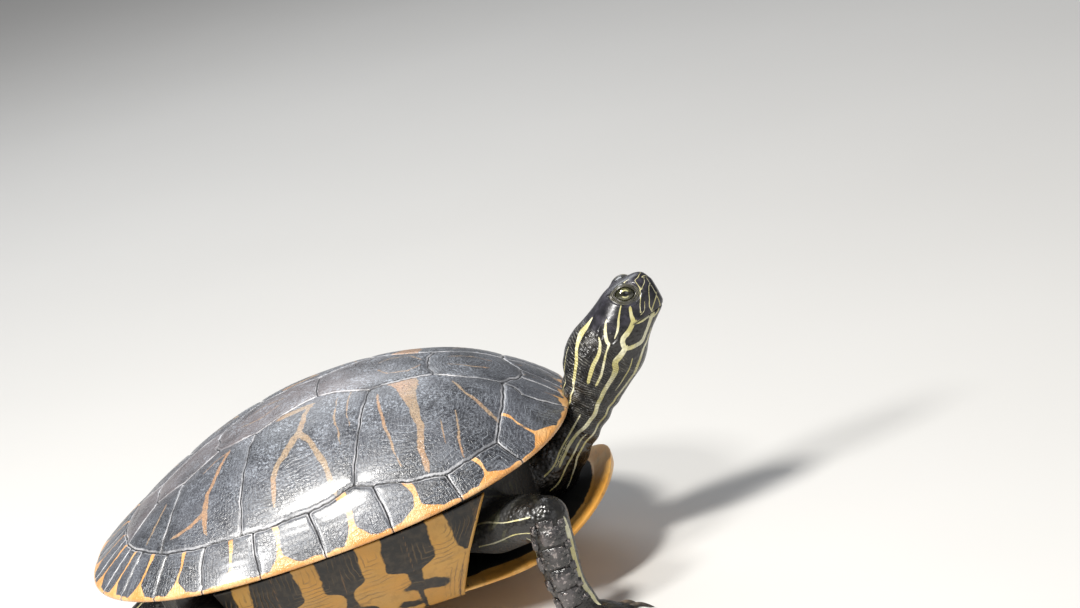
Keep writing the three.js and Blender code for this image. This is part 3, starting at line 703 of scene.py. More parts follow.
def flat_scute(outline, areola, brown, lines):
    """A pleural or vertebral: rings from its seams to its areola, closed underneath."""
    outline = resample(np.vstack([outline, outline[:1]]), SEAM_STEP)[:-1]
    count = len(outline)
    plan = (outline + (np.array(areola) - outline) * SCUTE_RINGS[:, None, None]).reshape(-1, 2)
    inward = np.repeat(SCUTE_RINGS, count)
    wander = wandered(plan)
    seam = nearest_on_line(wander, np.vstack([wander[:count], wander[:1]]))[0]
    top = np.column_stack([wander, dome(*wander.T)[0] + scute_relief(seam, inward)])
    foot = top[:count] - [0, 0, PLATE_DEPTH]
    vertices = np.vstack([top, top[-count:].mean(0), foot, foot.mean(0) - [0, 0, 0.5]])

    faces = grid_faces(len(SCUTE_RINGS), count, closed=True)
    centre, last, base = len(top), len(top) - count, len(top) + 1
    for j in range(count):
        k = (j + 1) % count
        faces.append((centre, last + k, last + j))
        faces.append((j, k, base + k, base + j))
        faces.append((base + count, base + j, base + k))

    brownness = brown * smooth((34 - np.abs(plan[:, 1])) / 16) * smooth((64 - plan[:, 0]) / 50)
    attributes = {**painted(plan, lines), "seam": seam, "grow": inward * GROWTH_RINGS, "brown": brownness}
    for key, values in attributes.items():
        attributes[key] = np.r_[values, np.full(count + 2, values[-1])]
    attributes["seam"][base:] = 0
    attributes["grow"][centre:] = GROWTH_RINGS
    attributes["orange"] = np.full(len(vertices), OUT_OF_REACH)
    attributes["under"] = np.zeros(len(vertices))
    attributes["silver"] = powder_and_sheen_of(vertices)
    return vertices, faces, attributes


ACROSS, ALONG = 34, 20         # points of a marginal along its rim and from its inner seam to the rim
# Round the rim's edge and back along the underside: share of the way out, and drop below the top.
UNDERSIDE = [
    (1.001, 0.35), (1.002, 0.9), (1.001, 1.6), (0.997, 2.3), (0.988, 2.95), (0.975, 3.5), (0.96, 4.1),
    (0.94, 4.7), (0.915, 5.4), (0.89, 6.0), (0.865, 6.4), (0.84, 6.5), (0.81, 6.2), (0.78, 5.6),
]


def patch(inner, outer, front, rear, u, v):
    """A Coons patch: plan points between four curves, in rows from the inner edge to the rim."""
    low, high, left, right = point_on(inner, u), point_on(outer, u), point_on(front, v), point_on(rear, v)
    u, v = u[None, :, None], v[:, None, None]
    ruled = (1 - v) * low + v * high + (1 - u) * left[:, None] + u * right[:, None]
    corners = (1 - u) * (1 - v) * low[0] + u * (1 - v) * low[-1] + (1 - u) * v * high[0] + u * v * high[-1]
    return ruled - corners


def rolled_under(rim, rim_height, rim_seam):
    """Rows of a marginal over the rim's edge and back below, and how far out their places count."""
    rows, shares = [], []
    for reach, drop in UNDERSIDE:
        below = (rim - [DOME_CENTRE_X, 0]) * reach + [DOME_CENTRE_X, 0]
        height = dome(*below.T)[0] if reach < 1 else rim_height
        rows.append(np.column_stack([below, height - drop + 0.25 * bell(rim_seam, 0.8)]))
        shares.append(np.full(ACROSS, 1 + (1.002 - reach) * 4 + 0.02 * drop))
    return rows, shares


def joined_rows(vertices, count):
    """Rows joined last to first, with a fan over each end."""
    last = (count - 1) * ACROSS
    faces = grid_faces(count, ACROSS) + [(j, j + 1, last + j + 1, last + j) for j in range(ACROSS - 1)]
    ends = [range(j, len(vertices), ACROSS) for j in (0, ACROSS - 1)]
    for middle, end in enumerate(ends, start=len(vertices)):
        faces += [(end[i], end[(i + 1) % count], middle) for i in range(count)]
    return np.vstack([vertices] + [vertices[end].mean(0) for end in ends]), faces


def marginal(inner, front, rear, bar):
    """A marginal scute: a patch from its inner seam to the rim, over the edge and back below."""
    u, v = np.linspace(0, 1, ACROSS), np.linspace(0, 1, ALONG) ** 0.9
    rim = rim_arc(front[-1], rear[-1], ACROSS)
    plan = wandered(patch(inner, rim, front, rear, u, v).reshape(-1, 2))
    grid = plan.reshape(ALONG, ACROSS, 2)
    width = np.linalg.norm(rim[-1] - rim[0])
    depth = np.linalg.norm(rim[ACROSS // 2] - grid[0, ACROSS // 2])

    v = np.repeat(v, ACROSS)
    seam = nearest_of_lines(plan, [grid[0], grid[:, 0], grid[:, -1]])
    relief = scute_relief(seam, 0.5 * (1 - v)) * (0.25 + 0.75 * smooth((1 - v) / 0.18))
    top = np.column_stack([plan, dome(*plan.T)[0] + relief])
    rim_seam = nearest_of_lines(plan[-ACROSS:], [grid[:, 0], grid[:, -1]])
    rows, shares = rolled_under(rim, top[-ACROSS:, 2], rim_seam)
    vertices, faces = joined_rows(np.vstack([top, *rows]), ALONG + len(rows))

    seam = np.r_[seam, np.tile(rim_seam, len(rows)), 0, 0]
    u, v = np.r_[np.tile(u, ALONG + len(rows)), 0.5, 0.5], np.r_[v, np.concatenate(shares), 0.5, 0.5]
    attributes = painted(vertices, [])
    attributes["seam"] = seam
    attributes["grow"] = np.minimum(seam / 2.3, 9)
    attributes["brown"] = np.zeros(len(vertices))
    attributes["orange"] = marginal_orange(u, v, width, depth, bar)
    attributes["under"] = smooth((v - 1.02) / 0.06)
    attributes["silver"] = powder_and_sheen_of(vertices)
    return vertices, faces, attributes


def marginal_orange(u, v, width, depth, bar):
    """Millimetres inside the orange of a marginal: a bar that flares into a patch on the rim."""
    bar_at, bar_half, patch_share, edge_half = bar
    off = (u - bar_at) * width
    taper = bar_half * (0.72 + 0.28 * np.sin(5 * v + 4 * bar_at) + 0.3 * smooth((v - 0.6) / 0.4))
    line = taper - np.abs(off + 0.9 * np.sin(5 * v))
    flare = patch_share * width * smooth((v - 0.66) / 0.34) - np.abs(off)
    edge = (v - 1.0) * depth + edge_half * (1 + 0.35 * np.sin(0.7 * off))
    below = (patch_share * 0.6) * width + 1.0 - np.abs(off) + 1.2 * np.sin(9 * v)
    top = np.maximum(np.maximum(line, flare), edge)
    return np.where(v > 1.1, below, np.maximum(top, np.where(v > 1, 1.0, -99)))


# The orange of each marginal: how far from its front seam the bar runs (a share), the bar's
# half-width, the share of the rim its patch takes to each side, and the width of the pale edge.
MARGINAL_BARS = [
    (0.5, -9.0, 0.06, 2.3), (0.60, 1.8, 0.20, 0.6), (0.50, 1.9, 0.22, 0.6), (0.55, 2.9, 0.30, 0.5),
    (0.50, 3.3, 0.20, 0.5), (0.62, 2.2, 0.22, 0.5), (0.45, 1.5, 0.26, 0.5), (0.52, 1.3, 0.2, 0.6),
    (0.5, 1.6, 0.24, 0.6), (0.48, 1.2, 0.2, 0.7), (0.52, 1.4, 0.24, 0.7), (0.5, 1.1, 0.2, 0.7),
]
NUCHAL_BAR = (0.5, -9.0, 0.1, 2.6)


def carapace_piece(name, scutes, material):
    """Several scutes as one piece that stands for the carapace."""
    faces, start = [], 0
    for vertices, cells, _ in scutes:
        faces += [[start + i for i in cell] for cell in cells]
        start += len(vertices)
    points = np.vstack([vertices for vertices, _, _ in scutes])
    attributes = {key: np.concatenate([scute[2][key] for scute in scutes]) for key in scutes[0][2]}
    piece = new_object(name, shell_to_body(points), faces)
    finished(piece, material, attributes, ["carapace"])


def build_carapace(material):
    marginal_seams = [np.array(line, float) for line in MARGINAL_SEAMS]
    for side, across in (("right", 1), ("left", -1)):
        scutes = []
        for names, areola in PLEURALS:
            outline = joined(names)[:-1] * [1, across]
            scutes.append(flat_scute(outline, (areola[0], across * areola[1]), 0.35, BARS))
        carapace_piece(f"pleurals_{side}", scutes, material)

        scutes = []
        for names, front, rear, bar in zip(MARGINAL_EDGES, marginal_seams, marginal_seams[1:], MARGINAL_BARS):
            vertices, faces, attributes = marginal(joined(names), front, rear, bar)
            scutes.append((vertices * [1, across, 1], faces, attributes))
        if side == "left":
            inner = np.vstack([mirrored(seam_line("v1_nuchal")), seam_line("-v1_nuchal")[1:]])
            front = marginal_seams[0]
            scutes.append(marginal(inner, mirrored(front), front, NUCHAL_BAR))
        carapace_piece(f"marginals_{side}", scutes, material)

    scutes = []
    for names, areola in VERTEBRALS:
        right = joined(names)
        outline = np.vstack([right, mirrored(right)[::-1][1:-1]])
        scutes.append(flat_scute(outline, areola, 0.95, VERTEBRAL_BARS))
    carapace_piece("vertebrals", scutes, material)


# ---- Plastron and bridges -----------------------------------------------------------------------

# Seams of the right half of the plastron, from the midline outward, as plan points.
PLASTRON_SEAMS = [
    [(104, 0), (112, -14), (122, -34)],
    [(76, 0), (84, -28), (98, -60)],
    [(46, 0), (45, -34), (56, -66)],
    [(-2, 0), (-2, -34), (-8, -66)],
    [(-48, 0), (-50, -30), (-60, -60)],
    [(-84, 0), (-78, -22), (-92, -52)],
    [(-118, 0), (-20, 0), (60, 0), (136, 0)],
]
LOBE_LIP = 12.0                # how far the horn wraps over the inner face
PLASTRON_GROOVE, PLASTRON_GROOVE_WIDTH = 0.45, 0.8
BRIDGE_GROOVE, BRIDGE_BULGE = 0.5, 2.8


def lobe_half_width(lobe, share):
    return lobe["half"] * (1 - np.clip(share, 0, 1) ** lobe["power"]) ** (1 / lobe["power"])


def plastron_half_width(x):
    front, rear = FRONT_LOBE["start"], REAR_LOBE["start"]
    front_half = lobe_half_width(FRONT_LOBE, (x - front) / FRONT_LOBE["length"])
    rear_half = lobe_half_width(REAR_LOBE, (rear - x) / REAR_LOBE["length"])
    along = smooth((x - rear) / (front - rear))
    middle = REAR_LOBE["half"] + (FRONT_LOBE["half"] - REAR_LOBE["half"]) * along
    return np.where(x > front, front_half, np.where(x < rear, rear_half, middle))


def plastron_underside(x):
    front = np.maximum(0, (x - FRONT_LOBE["start"]) / FRONT_LOBE["length"])
    rear = np.maximum(0, (REAR_LOBE["start"] - 12 - x) / (REAR_LOBE["length"] - 12))
    return -PLASTRON_DEPTH + FRONT_LOBE["curl"] * front**2 + REAR_LOBE["curl"] * rear**2


def horn_piece(name, replaced, points, faces, material, **marks):
    """A piece of the plastron's horn. Its marks are values or one value for all of it."""
    attributes = {key: np.broadcast_to(values, len(points)) for key, values in marks.items()}
    piece = new_object(name, shell_to_body(points), faces)
    finished(piece, material, attributes, [replaced])


def build_plastron(material):
    stations, sides = 150, 88
    front, rear = FRONT_LOBE["start"] + FRONT_LOBE["length"], REAR_LOBE["start"] - REAR_LOBE["length"]
    along = 0.5 - 0.5 * np.cos(HALF_TURN * (np.arange(stations) + 0.4) / (stations - 0.2))
    x = (rear + (front - rear) * along)[:, None]
    turn = FULL_TURN * (np.arange(sides) + 0.5) / sides
    y = (plastron_half_width(x) - 0.4) * signed_power(np.cos(turn), 0.8)
    z = plastron_underside(x) + PLASTRON_THICKNESS / 2 * (1 + signed_power(np.sin(turn), 0.5))
    notch = ANAL_NOTCH * smooth((REAR_LOBE["start"] - 40 - x) / 30) * np.clip(1 - np.abs(y) / 26, 0, 1)
    points = np.stack([x + notch, y, z], -1).reshape(-1, 3)

    right_side = np.column_stack([points[:, 0], -np.abs(points[:, 1])])
    seam = nearest_of_lines(right_side, PLASTRON_SEAMS)
    outline_x = rear + (front - rear) * (0.5 - 0.5 * np.cos(np.linspace(0, HALF_TURN, 160)))
    outline = np.column_stack([outline_x, -plastron_half_width(outline_x)])
    top = np.tile(np.sin(turn) > 0, stations)
    skin = np.where(top, nearest_on_line(right_side, outline)[0] - LOBE_LIP, OUT_OF_REACH)
    points[:, 2] += np.where(top & (points[:, 0] > 60), 1.2 * smooth((skin + 1) / 2), 0)
    points[:, 2] += np.where(top, -1, 1) * PLASTRON_GROOVE * bell(seam, PLASTRON_GROOVE_WIDTH)
    marks = {"seam": seam, "skin": skin, "blotch": OUT_OF_REACH, "wall": 0}
    horn_piece("plastron_plates", "plastron", points, tube_faces(stations, sides), material, **marks)


BRIDGE_RISE = 52.0                        # millimetres up the wall, along its slope
BRIDGE_SEAM_SHARE = 0.52                  # above this share of it lie the marginals' undersides
UNDER_SEAMS = (72, 36, 1, -33, -64)       # where the marginals' seams reach the wall
# The dark marks below them: middle, share of the rise, half-length and half-height as a share.
BRIDGE_MARKS = [(40, 0.30, 11, 0.07), (4, 0.20, 8, 0.10), (-24, 0.32, 12, 0.06), (26, 0.12, 6, 0.06)]


def build_bridge(name, side, material):
    """The wall between plastron and rim, with its dark blotches between orange bars."""
    stations, steps = 130, 46
    rise = np.linspace(0, 1, steps)[None]
    rear_x = BRIDGE_REAR["foot"] + (BRIDGE_REAR["top"] - BRIDGE_REAR["foot"]) * rise
    front_x = BRIDGE_FRONT["foot"] + (BRIDGE_FRONT["top"] - BRIDGE_FRONT["foot"]) * rise**1.25
    x = rear_x + (front_x - rear_x) * np.linspace(0, 1, stations)[:, None]
    foot, top = plastron_half_width(x) + 0.2, rim_half_width(x) - 3.7
    y = foot + (top - foot) * rise**0.85 + BRIDGE_BULGE * np.sin(HALF_TURN * rise)
    foot_z = plastron_underside(x) + 0.8
    z = foot_z + (-1.5 - foot_z) * rise
    groove = BRIDGE_GROOVE * bell((rise - BRIDGE_SEAM_SHARE) * BRIDGE_RISE, 1)
    outer = np.stack([x, side * (y - groove), z], -1)
    inner = np.stack([x, side * (y - BRIDGE_THICKNESS), z + 2.0 * (1 - rise)], -1)
    points = np.concatenate([outer, inner[:, ::-1]], 1).reshape(-1, 3)
    both_faces = lambda values: np.concatenate([values, values[:, ::-1]], 1).reshape(-1)
    blotch, seam = map(both_faces, bridge_marks(x, rise, front_x - x))
    marks = {"seam": seam, "blotch": blotch, "skin": OUT_OF_REACH, "wall": 1}
    faces = tube_faces(stations, 2 * steps)
    horn_piece(f"bridge_plates_{name}", f"bridge_{name}", points, faces, material, **marks)


def bridge_marks(x, rise, from_front):
    """Millimetres inside the dark blotches, and distance to the wall's seams."""
    upper = rise - BRIDGE_SEAM_SHARE
    blotch = np.where(upper > 0.02, x - 66 + 6 * rise, OUT_OF_REACH)
    seam = np.minimum(np.abs(upper) * BRIDGE_RISE, np.abs(from_front - 2.4))
    for at in UNDER_SEAMS:
        off = x - at - 3 + 7 * (1 - rise)
        half = 11.5 + 1.5 * np.sin(5 * rise + at)
        blotch = np.maximum(blotch, half - np.abs(off) - 9 * smooth((0.10 - upper) / 0.12))
        seam = np.minimum(seam, np.where(upper > 0, np.abs(off), 9))
    for middle, high, length, tall in BRIDGE_MARKS:
        off = np.hypot((x - middle + 30 * (rise - high)) / length, (rise - high) / tall)
        blotch = np.maximum(blotch, (1 - off) * min(length, tall * BRIDGE_RISE))
    return np.where(from_front < 1.6, OUT_OF_REACH, np.maximum(blotch, OUT_OF_REACH)), seam


# ---- Tubes: the lofts of the neck, limbs and tail -----------------------------------------------


def spline(rows, at):
    """A smooth curve through rows of numbers; at counts in rows."""
    rows = np.asarray(rows, float)
    at = np.clip(np.asarray(at, float), 0, len(rows) - 1)
    k = np.minimum(at.astype(int), len(rows) - 2)
    t = (at - k)[..., None]
    before, a, b, after = (rows[np.clip(k + d, 0, len(rows) - 1)] for d in (-1, 0, 1, 2))
    turn = 2 * before - 5 * a + 4 * b - after
    bend = 3 * a - before - 3 * b + after
    return a + 0.5 * t * (b - before + t * (turn + t * bend))


class Tube:
    """A loft whose rows hold a centre, two half-axes and how boxy the section is."""

    def __init__(self, rows):
        self.rows = np.asarray(rows, float)

    def point(self, at, turn):
        row = spline(self.rows, at)
        a = signed_power(np.cos(turn), row[..., 9])[..., None]
        b = signed_power(np.sin(turn), row[..., 9])[..., None]
        return row[..., 0:3] + row[..., 3:6] * a + row[..., 6:9] * b

    def normal(self, at, turn):
        step = 0.02
        along = self.point(at + step, turn) - self.point(at - step, turn)
        about = self.point(at, turn + step) - self.point(at, turn - step)
        n = np.cross(about, along)
        n /= np.maximum(np.linalg.norm(n, axis=-1, keepdims=True), 1e-9)
        out = self.point(at, turn) - spline(self.rows, at)[..., 0:3]
        return n * np.where((n * out).sum(-1, keepdims=True) < 0, -1, 1)


# Head and neck: nape (x, z) and throat (x, z), half-width and boxiness, from snout to shoulders.
RIBS = [
    (181.7, 75.6, 185.6, 63.0, 3.6, 0.84), (178.5, 79.0, 184.5, 59.7, 6.7, 0.84),
    (174.5, 79.6, 181.8, 55.9, 9.1, 0.85), (169.8, 78.3, 178.1, 50.8, 11.5, 0.86),
    (163.5, 76.4, 174.7, 44.5, 13.9, 0.88), (157.1, 72.5, 172.7, 38.8, 15.8, 0.92),
    (151.0, 66.8, 170.0, 33.6, 17.4, 0.96), (144.6, 61.4, 166.5, 29.3, 17.5, 0.98),
    (138.2, 56.6, 162.1, 25.0, 17.1, 1.0), (133.2, 50.8, 158.1, 20.8, 16.9, 1.0),
    (129.8, 43.7, 153.4, 15.7, 16.6, 1.0), (127.8, 34.7, 148.3, 10.3, 16.0, 1.0),
    (124.8, 26.6, 142.1, 3.0, 15.4, 1.0), (120.0, 18.5, 135.4, -5.0, 15.7, 1.0),
    (110.0, 12.3, 128.5, -14.8, 17.0, 1.0), (98.6, 7.5, 120.5, -24.4, 19.5, 1.0),
    (77.7, 3.4, 103.5, -32.4, 22.5, 1.0),
]


def neck_tube():
    rows = []
    for nx, nz, tx, tz, half, boxy in RIBS:
        middle = [(nx + tx) / 2, 0, (nz + tz) / 2]
        rows.append(middle + [(nx - tx) / 2, 0, (nz - tz) / 2, 0, half, 0, boxy])
    return Tube(rows)


def limb_tube(stations, sideways):
    """Stations are x, y, height above the floor, width along sideways and depth across it."""
    s = np.asarray(stations, float)
    rows = []
    for k, (x, y, height, width, depth) in enumerate(s):
        ahead = s[min(k + 1, len(s) - 1), :3] - s[max(k - 1, 0), :3]
        ahead /= np.linalg.norm(ahead)
        u = np.asarray(sideways, float) - np.dot(sideways, ahead) * ahead
        u /= np.linalg.norm(u)
        v = np.cross(ahead, u)
        rows.append([x, y, height - SHELL_HEIGHT, *(u * width), *(v * depth), 1.0])
    return Tube(rows)


# ---- Head ---------------------------------------------------------------------------------------
# Head points are how far behind the beak's tip they lie, how far above it, and y.

BEAK_TIP = np.array([184.5, 0, 61.0])
HEAD_PITCH = math.radians(17)
EYE_RADIUS = 5.8
EYE_PLACE = (13.2, 15.4, 6.5)                # the right eye's centre is its mirror image
EYE_AXIS = np.array([0.20, 0.26, 0.94])      # forward, up, out
LID_SLANT = math.radians(22)                 # the slit of the eye dips toward the snout
LID_HALF = (5.2, 3.6)                        # half the length and height of the opening
LID_POWER = 1.75
MOUTH_RISE = math.radians(4)
MOUTH_LENGTH = 16.5
MOUTH_DEPTH, MOUTH_WIDTH = 0.75, 0.36
LIP_SWELL, LIP_WIDTH = 0.28, 2.4             # the upper lip, just over the mouth
NOSTRIL_PLACE, NOSTRIL_DEPTH, NOSTRIL_WIDTH = (-0.4, 12.4, 1.9), 1.0, 0.62
EARDRUM_PLACE, EARDRUM_RADIUS, EARDRUM_DEPTH = (29, 3.5), 5.2, 0.45
MUSCLE_PLACE, MUSCLE_HALF, MUSCLE_SWELL = (24.5, 9.0), (6.0, 5.0), 0.75
FOLD_SWELL, FOLDS_FROM = 0.44, 9.2           # the neck's coarse folds; from which of its rows
SOCKET_DEPTH, LID_STANDS = 1.3, 0.8          # in from the eyeball's surface, and out from it
NECK_LAST = len(RIBS) - 1
# Steps along the neck's mesh: how far from the snout each is used, and its length.
ROW_STEPS = [(3.8, 0.42), (20, 0.3), (32.4, 0.42), (66.5, 0.62), (math.inf, 0.95)]
SNOUT_SHARES = (0.12, 0.3, 0.46, 0.6, 0.72, 0.83, 0.92, 0.98)     # rings that close the snout


def to_head(points):
    return pitched(points - BEAK_TIP, -HEAD_PITCH)[..., [0, 2, 1]] * [-1, 1, 1]


def from_head(points):
    return pitched(points[..., [0, 2, 1]] * [-1, 1, 1], HEAD_PITCH) + BEAK_TIP


def eye_frame():
    """Rows: toward the snout along the slit, up across it, and out along the eye's axis."""
    axis = EYE_AXIS / np.linalg.norm(EYE_AXIS)
    slit = np.array([math.cos(LID_SLANT), -math.sin(LID_SLANT), 0])
    slit -= (slit @ axis) * axis
    slit /= np.linalg.norm(slit)
    across = np.cross(axis, slit)
    return np.stack([slit, across * np.sign(across[1]), axis])


def shape_lids(head):
    """Moves head points near the eyes: sockets, lids that hug the eyeball, and a brow.

    Gives the points and how many times the opening's size away from the slit's middle each lies.
    """
    axes = eye_frame()
    outward = np.where(head[:, 2] < 0, -1, 1)
    from_eye = np.column_stack([head[:, :2], np.abs(head[:, 2])]) - EYE_PLACE
    x, y, z = (from_eye * [-1, 1, 1] @ axes.T).T
    oval = (np.abs(x) / LID_HALF[0]) ** LID_POWER + (np.abs(y) / LID_HALF[1]) ** LID_POWER
    oval = oval ** (1 / LID_POWER)
    off = np.hypot(x, y)
    near = (oval < 2.6) & (z > -1.0)
    within = np.sqrt(np.maximum((EYE_RADIUS - SOCKET_DEPTH) ** 2 - off**2, 0.3))
    lid = np.maximum(np.sqrt(np.maximum((EYE_RADIUS + LID_STANDS) ** 2 - off**2, 0.5)), z - 0.5)
    lid = lid - 0.10 * np.cos(FULL_TURN * (oval - 1) / 0.15) * smooth((oval - 1.02) / 0.1)
    settled = z - 0.55 * bell(oval - 1.55, 0.10) + 0.45 * bell(oval - 1.9, 0.22) * np.where(y > 0, 1, 0.35)
    new = lid + (settled - lid) * smooth((oval - 1.28) / 0.3)
    new = within + (new - within) * smooth((oval - 0.93) / 0.10)
    change = np.where(near, (new - z) * smooth((2.6 - oval) / 0.4), 0)
    push = change[:, None] * axes[2] * [-1, 1, 1]
    push[:, 2] *= outward
    return head + push, np.where(near, oval, 9)


def mouth_and_nostril(head):
    """Height above the line of the mouth, and distance from the nearer nostril."""
    back, up, out = head[:, 0], head[:, 1], np.abs(head[:, 2])
    above = up - back * math.tan(MOUTH_RISE) - 0.2
    return above, np.linalg.norm(np.column_stack([back, up, out]) - NOSTRIL_PLACE, axis=1)


def detail_head(points, normals, at):
    """Adds lids, mouth, nostrils, eardrums and folds of skin to the smooth head and neck."""
    head = to_head(points)
    moved, oval = shape_lids(head)
    out = np.abs(head[:, 2])
    above, nostril = mouth_and_nostril(head)
    mouth = smooth((MOUTH_LENGTH - head[:, 0]) / 1.5) * (oval > 2)
    lip = LIP_SWELL * smooth(above / 0.5) * bell(above, LIP_WIDTH)
    push = (lip - MOUTH_DEPTH * bell(above, MOUTH_WIDTH)) * mouth
    push = push - NOSTRIL_DEPTH * bell(nostril, NOSTRIL_WIDTH) + 0.18 * bell(nostril - 1.15, 0.3)
    drum = np.where(out > 8, np.linalg.norm(head[:, :2] - EARDRUM_PLACE, axis=1), 20)
    push = push - EARDRUM_DEPTH * smooth((EARDRUM_RADIUS - drum) / 1.4)
    push = push + 0.2 * bell(drum - EARDRUM_RADIUS - 0.4, 0.7)
    muscle = np.linalg.norm((head[:, :2] - MUSCLE_PLACE) / MUSCLE_HALF, axis=1)
    push = push + MUSCLE_SWELL * bell(muscle, 1) * smooth((out - 5) / 3)
    folds = np.sin(FULL_TURN * at * 0.9 + 2.2 * wobble(points[:, 1], points[:, 2], 3, 30))
    push = push + FOLD_SWELL * smooth((at - FOLDS_FROM) / 2) * (folds - 0.3)
    return from_head(moved) + normals * push[:, None]


def neck_turns():
    """Angles round the head, crowded where the eyes and the mouth lie."""
    half = np.linspace(0, 180, 721)
    density = 1 + 1.7 * bell(half - 50, 30) + 0.8 * bell(half - 118, 22)
    total = np.r_[0, np.cumsum((density[1:] + density[:-1]) / 2)]
    columns = np.interp(np.linspace(0, total[-1], 108, endpoint=False), total, half)
    return np.radians(np.r_[columns, 180, -columns[1:][::-1]])


def neck_places(tube):
    """Places along the head and neck, crowded toward the snout."""
    fine = np.linspace(0, NECK_LAST, 641)
    before = lengths_along(spline(tube.rows, fine)[:, :3])
    steps, reach = [0.0], 0.0
    while reach < before[-1]:
        reach += next(step for limit, step in ROW_STEPS if reach <= limit)
        steps.append(min(reach, before[-1]))
    return np.interp(steps, before, fine)


def neck_mesh():
    """The head and neck as one fine closed loft."""
    tube, turns = neck_tube(), neck_turns()
    count = len(turns)
    at, turn = np.meshgrid(neck_places(tube), turns, indexing="ij")
    points, normals = tube.point(at, turn), tube.normal(at, turn)
    snout = tube.rows[0, :3]
    forward = np.array([math.cos(HEAD_PITCH), 0, math.sin(HEAD_PITCH)])
    rings = []
    for share in SNOUT_SHARES:
        rings.append(snout + (points[0] - snout) * share + forward * 0.55 * math.sqrt(1 - share**2))
    points = np.concatenate([rings, points])
    normals = np.concatenate([np.tile(forward, (len(rings), count, 1)), normals])
    at = np.r_[np.zeros(len(rings) * count), at.reshape(-1)]
    detailed = detail_head(points.reshape(-1, 3), normals.reshape(-1, 3), at)

    vertices = np.vstack([detailed, detailed[:count].mean(0), detailed[-count:].mean(0)])
    faces = grid_faces(len(points), count, closed=True)
    first, end, last = len(detailed), len(detailed) + 1, len(detailed) - count
    for j in range(count):
        k = (j + 1) % count
        faces.append((first, k, j))
        faces.append((end, last + j, last + k))
    return vertices, faces


# ---- Limbs and tail -----------------------------------------------------------------------------

KNEE = 3                                # index of the elbow's or knee's station
TOES = 5
WEB_THICKNESS = 2.4
FRONT_RIGHT = {
    "stations": [(70, -42, 42, 15, 17), (84, -58, 50, 14, 16), (98, -73, 56, 12, 14),
                 (109, -82, 58, 10.5, 11), (109.5, -84.5, 47, 10.2, 10.8), (110, -85, 34, 10.0, 10.4),
                 (111.5, -85.5, 22, 9.2, 9.4), (115, -86, 11, 9.6, 8.4), (118, -86.5, 5, 8, 6)],
    "sole": (121, -87), "heading": -14, "palm": (15, 12.5, 8), "toes": (-38, -19, 0, 19, 40),
    "toe_length": (9, 11, 12, 11, 8), "claw_length": (8, 10, 10.5, 9.5, 7), "toe_radius": 3.1,
}
FRONT_LEFT = {
    "stations": [(70, 42, 42, 15, 17), (79, 58, 49, 14, 16), (87, 72, 53, 12, 14), (92, 81, 54, 10.5, 11),
                 (91.5, 83, 45, 9.8, 10.8), (89.5, 82.5, 33, 9.6, 10.4), (88, 81.5, 22, 9.4, 9.6),
                 (88, 80, 11, 9.8, 8.4), (89.5, 80, 5, 8, 6)],
    "sole": (91, 80), "heading": 12, "palm": (14, 12.5, 8), "toes": (-40, -19, 0, 19, 38),
    "toe_length": (8, 11, 12, 11, 9), "claw_length": (7, 9.5, 10.5, 10, 8), "toe_radius": 3.1,
}
HIND_STATIONS = [
    (-60, 36, 30, 15, 17), (-64, 54, 33, 16, 18), (-67, 72, 34, 15, 17), (-70, 89, 31, 13.5, 14.5),
    (-78, 97, 25, 11.5, 11.5), (-87, 99, 17, 10.5, 9.5), (-89, 102, 10, 10.5, 8), (-88, 105, 5.5, 8, 5),
]


def hind_leg(side, shift, heading):
    return {
        "stations": [(x + shift, side * y, z, w, d) for x, y, z, w, d in HIND_STATIONS],
        "sole": (-86 + shift, side * 107), "heading": heading, "palm": (19, 14.5, 7.5),
        "toes": (-40, -20, 0, 20, 40), "toe_length": (11, 13, 14, 12, 8),
        "claw_length": (7, 8.5, 9, 8, 5), "toe_radius": 3.2, "webbed": True,
    }


LEGS = {
    "front_right": FRONT_RIGHT, "front_left": FRONT_LEFT,
    "hind_right": hind_leg(-1, 0, -42), "hind_left": hind_leg(1, 5, 50),
}
TAIL = [
    (-88, 0, 28, 13, 12), (-103, 0, 24, 11, 10), (-117, 1, 16, 8.6, 8.4), (-130, 4, 8.6, 6.2, 6.2),
    (-142, 10, 4.6, 4.4, 4.4), (-152, 18, 2.6, 2.8, 2.8), (-159, 27, 1.3, 1.5, 1.6),
]


def upper_tube(leg):
    return limb_tube(leg["stations"][: KNEE + 1], (0, 0, 1))


def lower_tube(leg):
    return limb_tube(leg["stations"][KNEE:], (1, 0, 0))


def tail_tube():
    return limb_tube(TAIL, (0, 1, 0))


def toe_tube(leg, k, stations):
    """A tube along toe k; stations are reach from the sole's middle, height, width and depth."""
    (x, y), (dx, dy) = leg["sole"], toe_direction(leg, k)
    rows = [(x + dx * reach, y + dy * reach, *rest) for reach, *rest in stations]
    return limb_tube(rows, (-dy, dx, 0))


def toe_direction(leg, k):
    turn = math.radians(leg["heading"] + leg["toes"][k])
    return math.cos(turn), math.sin(turn)


def toe_reach(leg, k):
    """How far the knuckle, tip and claw tip of toe k lie from the sole's middle."""
    knuckle = leg["palm"][0] * 0.45 + leg["toe_length"][k] * 0.5
    tip = leg["palm"][0] * 0.62 + leg["toe_length"][k]
    return knuckle, tip, tip + leg["claw_length"][k]


def rounded_cap(ring, centre, away):
    """Smaller and smaller copies of a tube's end ring, going away from it."""
    bulge = 0.8 * np.linalg.norm(ring - centre, axis=1).mean() * away / np.linalg.norm(away)
    leans = np.radians([25, 50, 72, 86])
    return [centre + (ring - centre) * math.cos(a) + bulge * math.sin(a) for a in leans]


